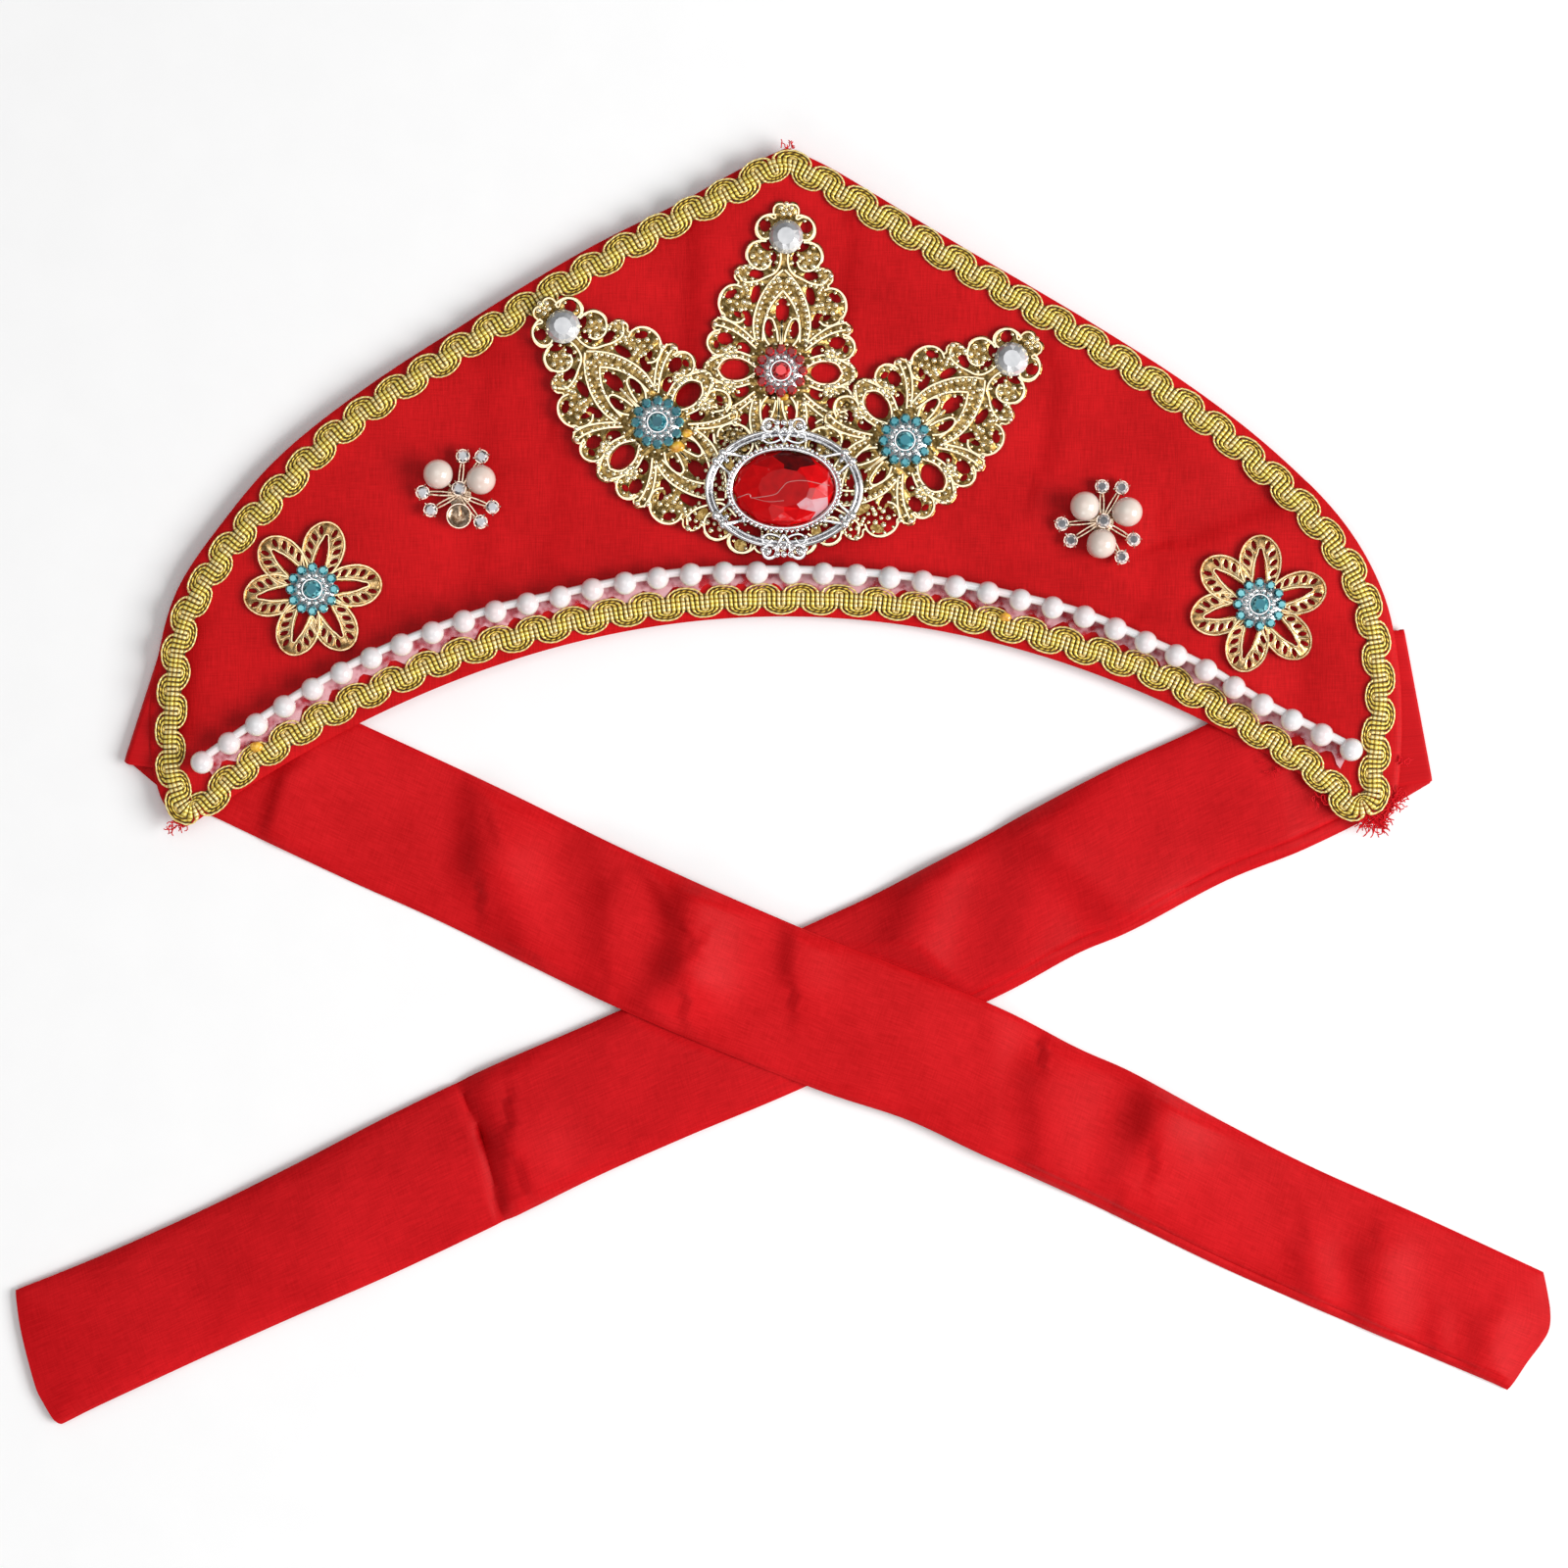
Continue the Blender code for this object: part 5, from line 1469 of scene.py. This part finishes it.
# loose threads at the panel's corners, and drops of dried glue
looseEnds = {
    "tufts": (
        # pixel, direction in degrees, spread, threads, length
        ((803, 153), 95, 75, 10, 0.0026),
        ((183, 841), 245, 80, 14, 0.0030),
        ((1402, 836), 300, 110, 70, 0.0044),
        ((1418, 816), 350, 80, 50, 0.0040),
        ((1350, 815), 240, 70, 14, 0.0022),
        ((1300, 783), 240, 70, 8, 0.0020),
        ((1427, 775), 0, 70, 16, 0.0022),
    ),
    "threadRadius": 0.00016,
    "drops": (
        # pixel, height above the panel's cloth, radius, height of the drop
        ((691, 457), 0.0031, 0.0022, 0.0011), ((701, 443), 0.0031, 0.0016, 0.0009),
        ((262, 762), 0.0012, 0.0020, 0.0009), ((800, 405), 0.0012, 0.0014, 0.0008),
        ((1026, 630), 0.0012, 0.0017, 0.0008),
    ),
}


def makeLooseEnds():
    plan = looseEnds
    rng = random.Random(17)
    threads = []
    for (across, down), direction, spread, count, length in plan["tufts"]:
        for i in range(count):
            start = (across + rng.uniform(-9, 9), down + rng.uniform(-5, 5))
            here = spot(*start, clothTop + rng.uniform(-0.0008, 0.0002))
            turn = math.radians(direction + rng.uniform(-spread, spread))
            points = [here]
            for step in range(4):
                turn += rng.uniform(-1.1, 1.1)
                here.z = max(here.z, 0.0004)
                here = here + outward(turn, 1.0, rng.uniform(-0.25, 0.2)) * length / 4
                points.append(here)
            threads.append(wire(points, plan["threadRadius"], sides=0))
    thread = clothMaterial("looseThread", (0.58, 0.005, 0.010), (0.80, 0.02, 0.03))
    finished(joined(threads), "looseThreads", "red_cloth", material=thread)

    drops = []
    for pixel, height, radius, rise in plan["drops"]:
        drop = ball(1.0, segments=14, rings=9)
        for vertex in drop.data.vertices:
            vertex.co *= 1 + 0.22 * noise.noise(vertex.co * 1.7 + Vector((pixel[0], 0, 0)))
        laid(drop, spot(*pixel, clothTop + height), size=(radius, radius * 0.8, rise))
        drops.append(placeApplied(drop))
    amber = cloudyMaterial("amberGlue", 500.0, 2.0, (0.35, (0.62, 0.24, 0.01)), (0.65, (0.92, 0.55, 0.05)),
                           Roughness=0.12, Coat_Weight=0.8)
    finished(joined(drops), "amberGlueDrops", "gold_thread", material=amber, sharpAngle=80)


makeLooseEnds()
print("loose threads and glue made")
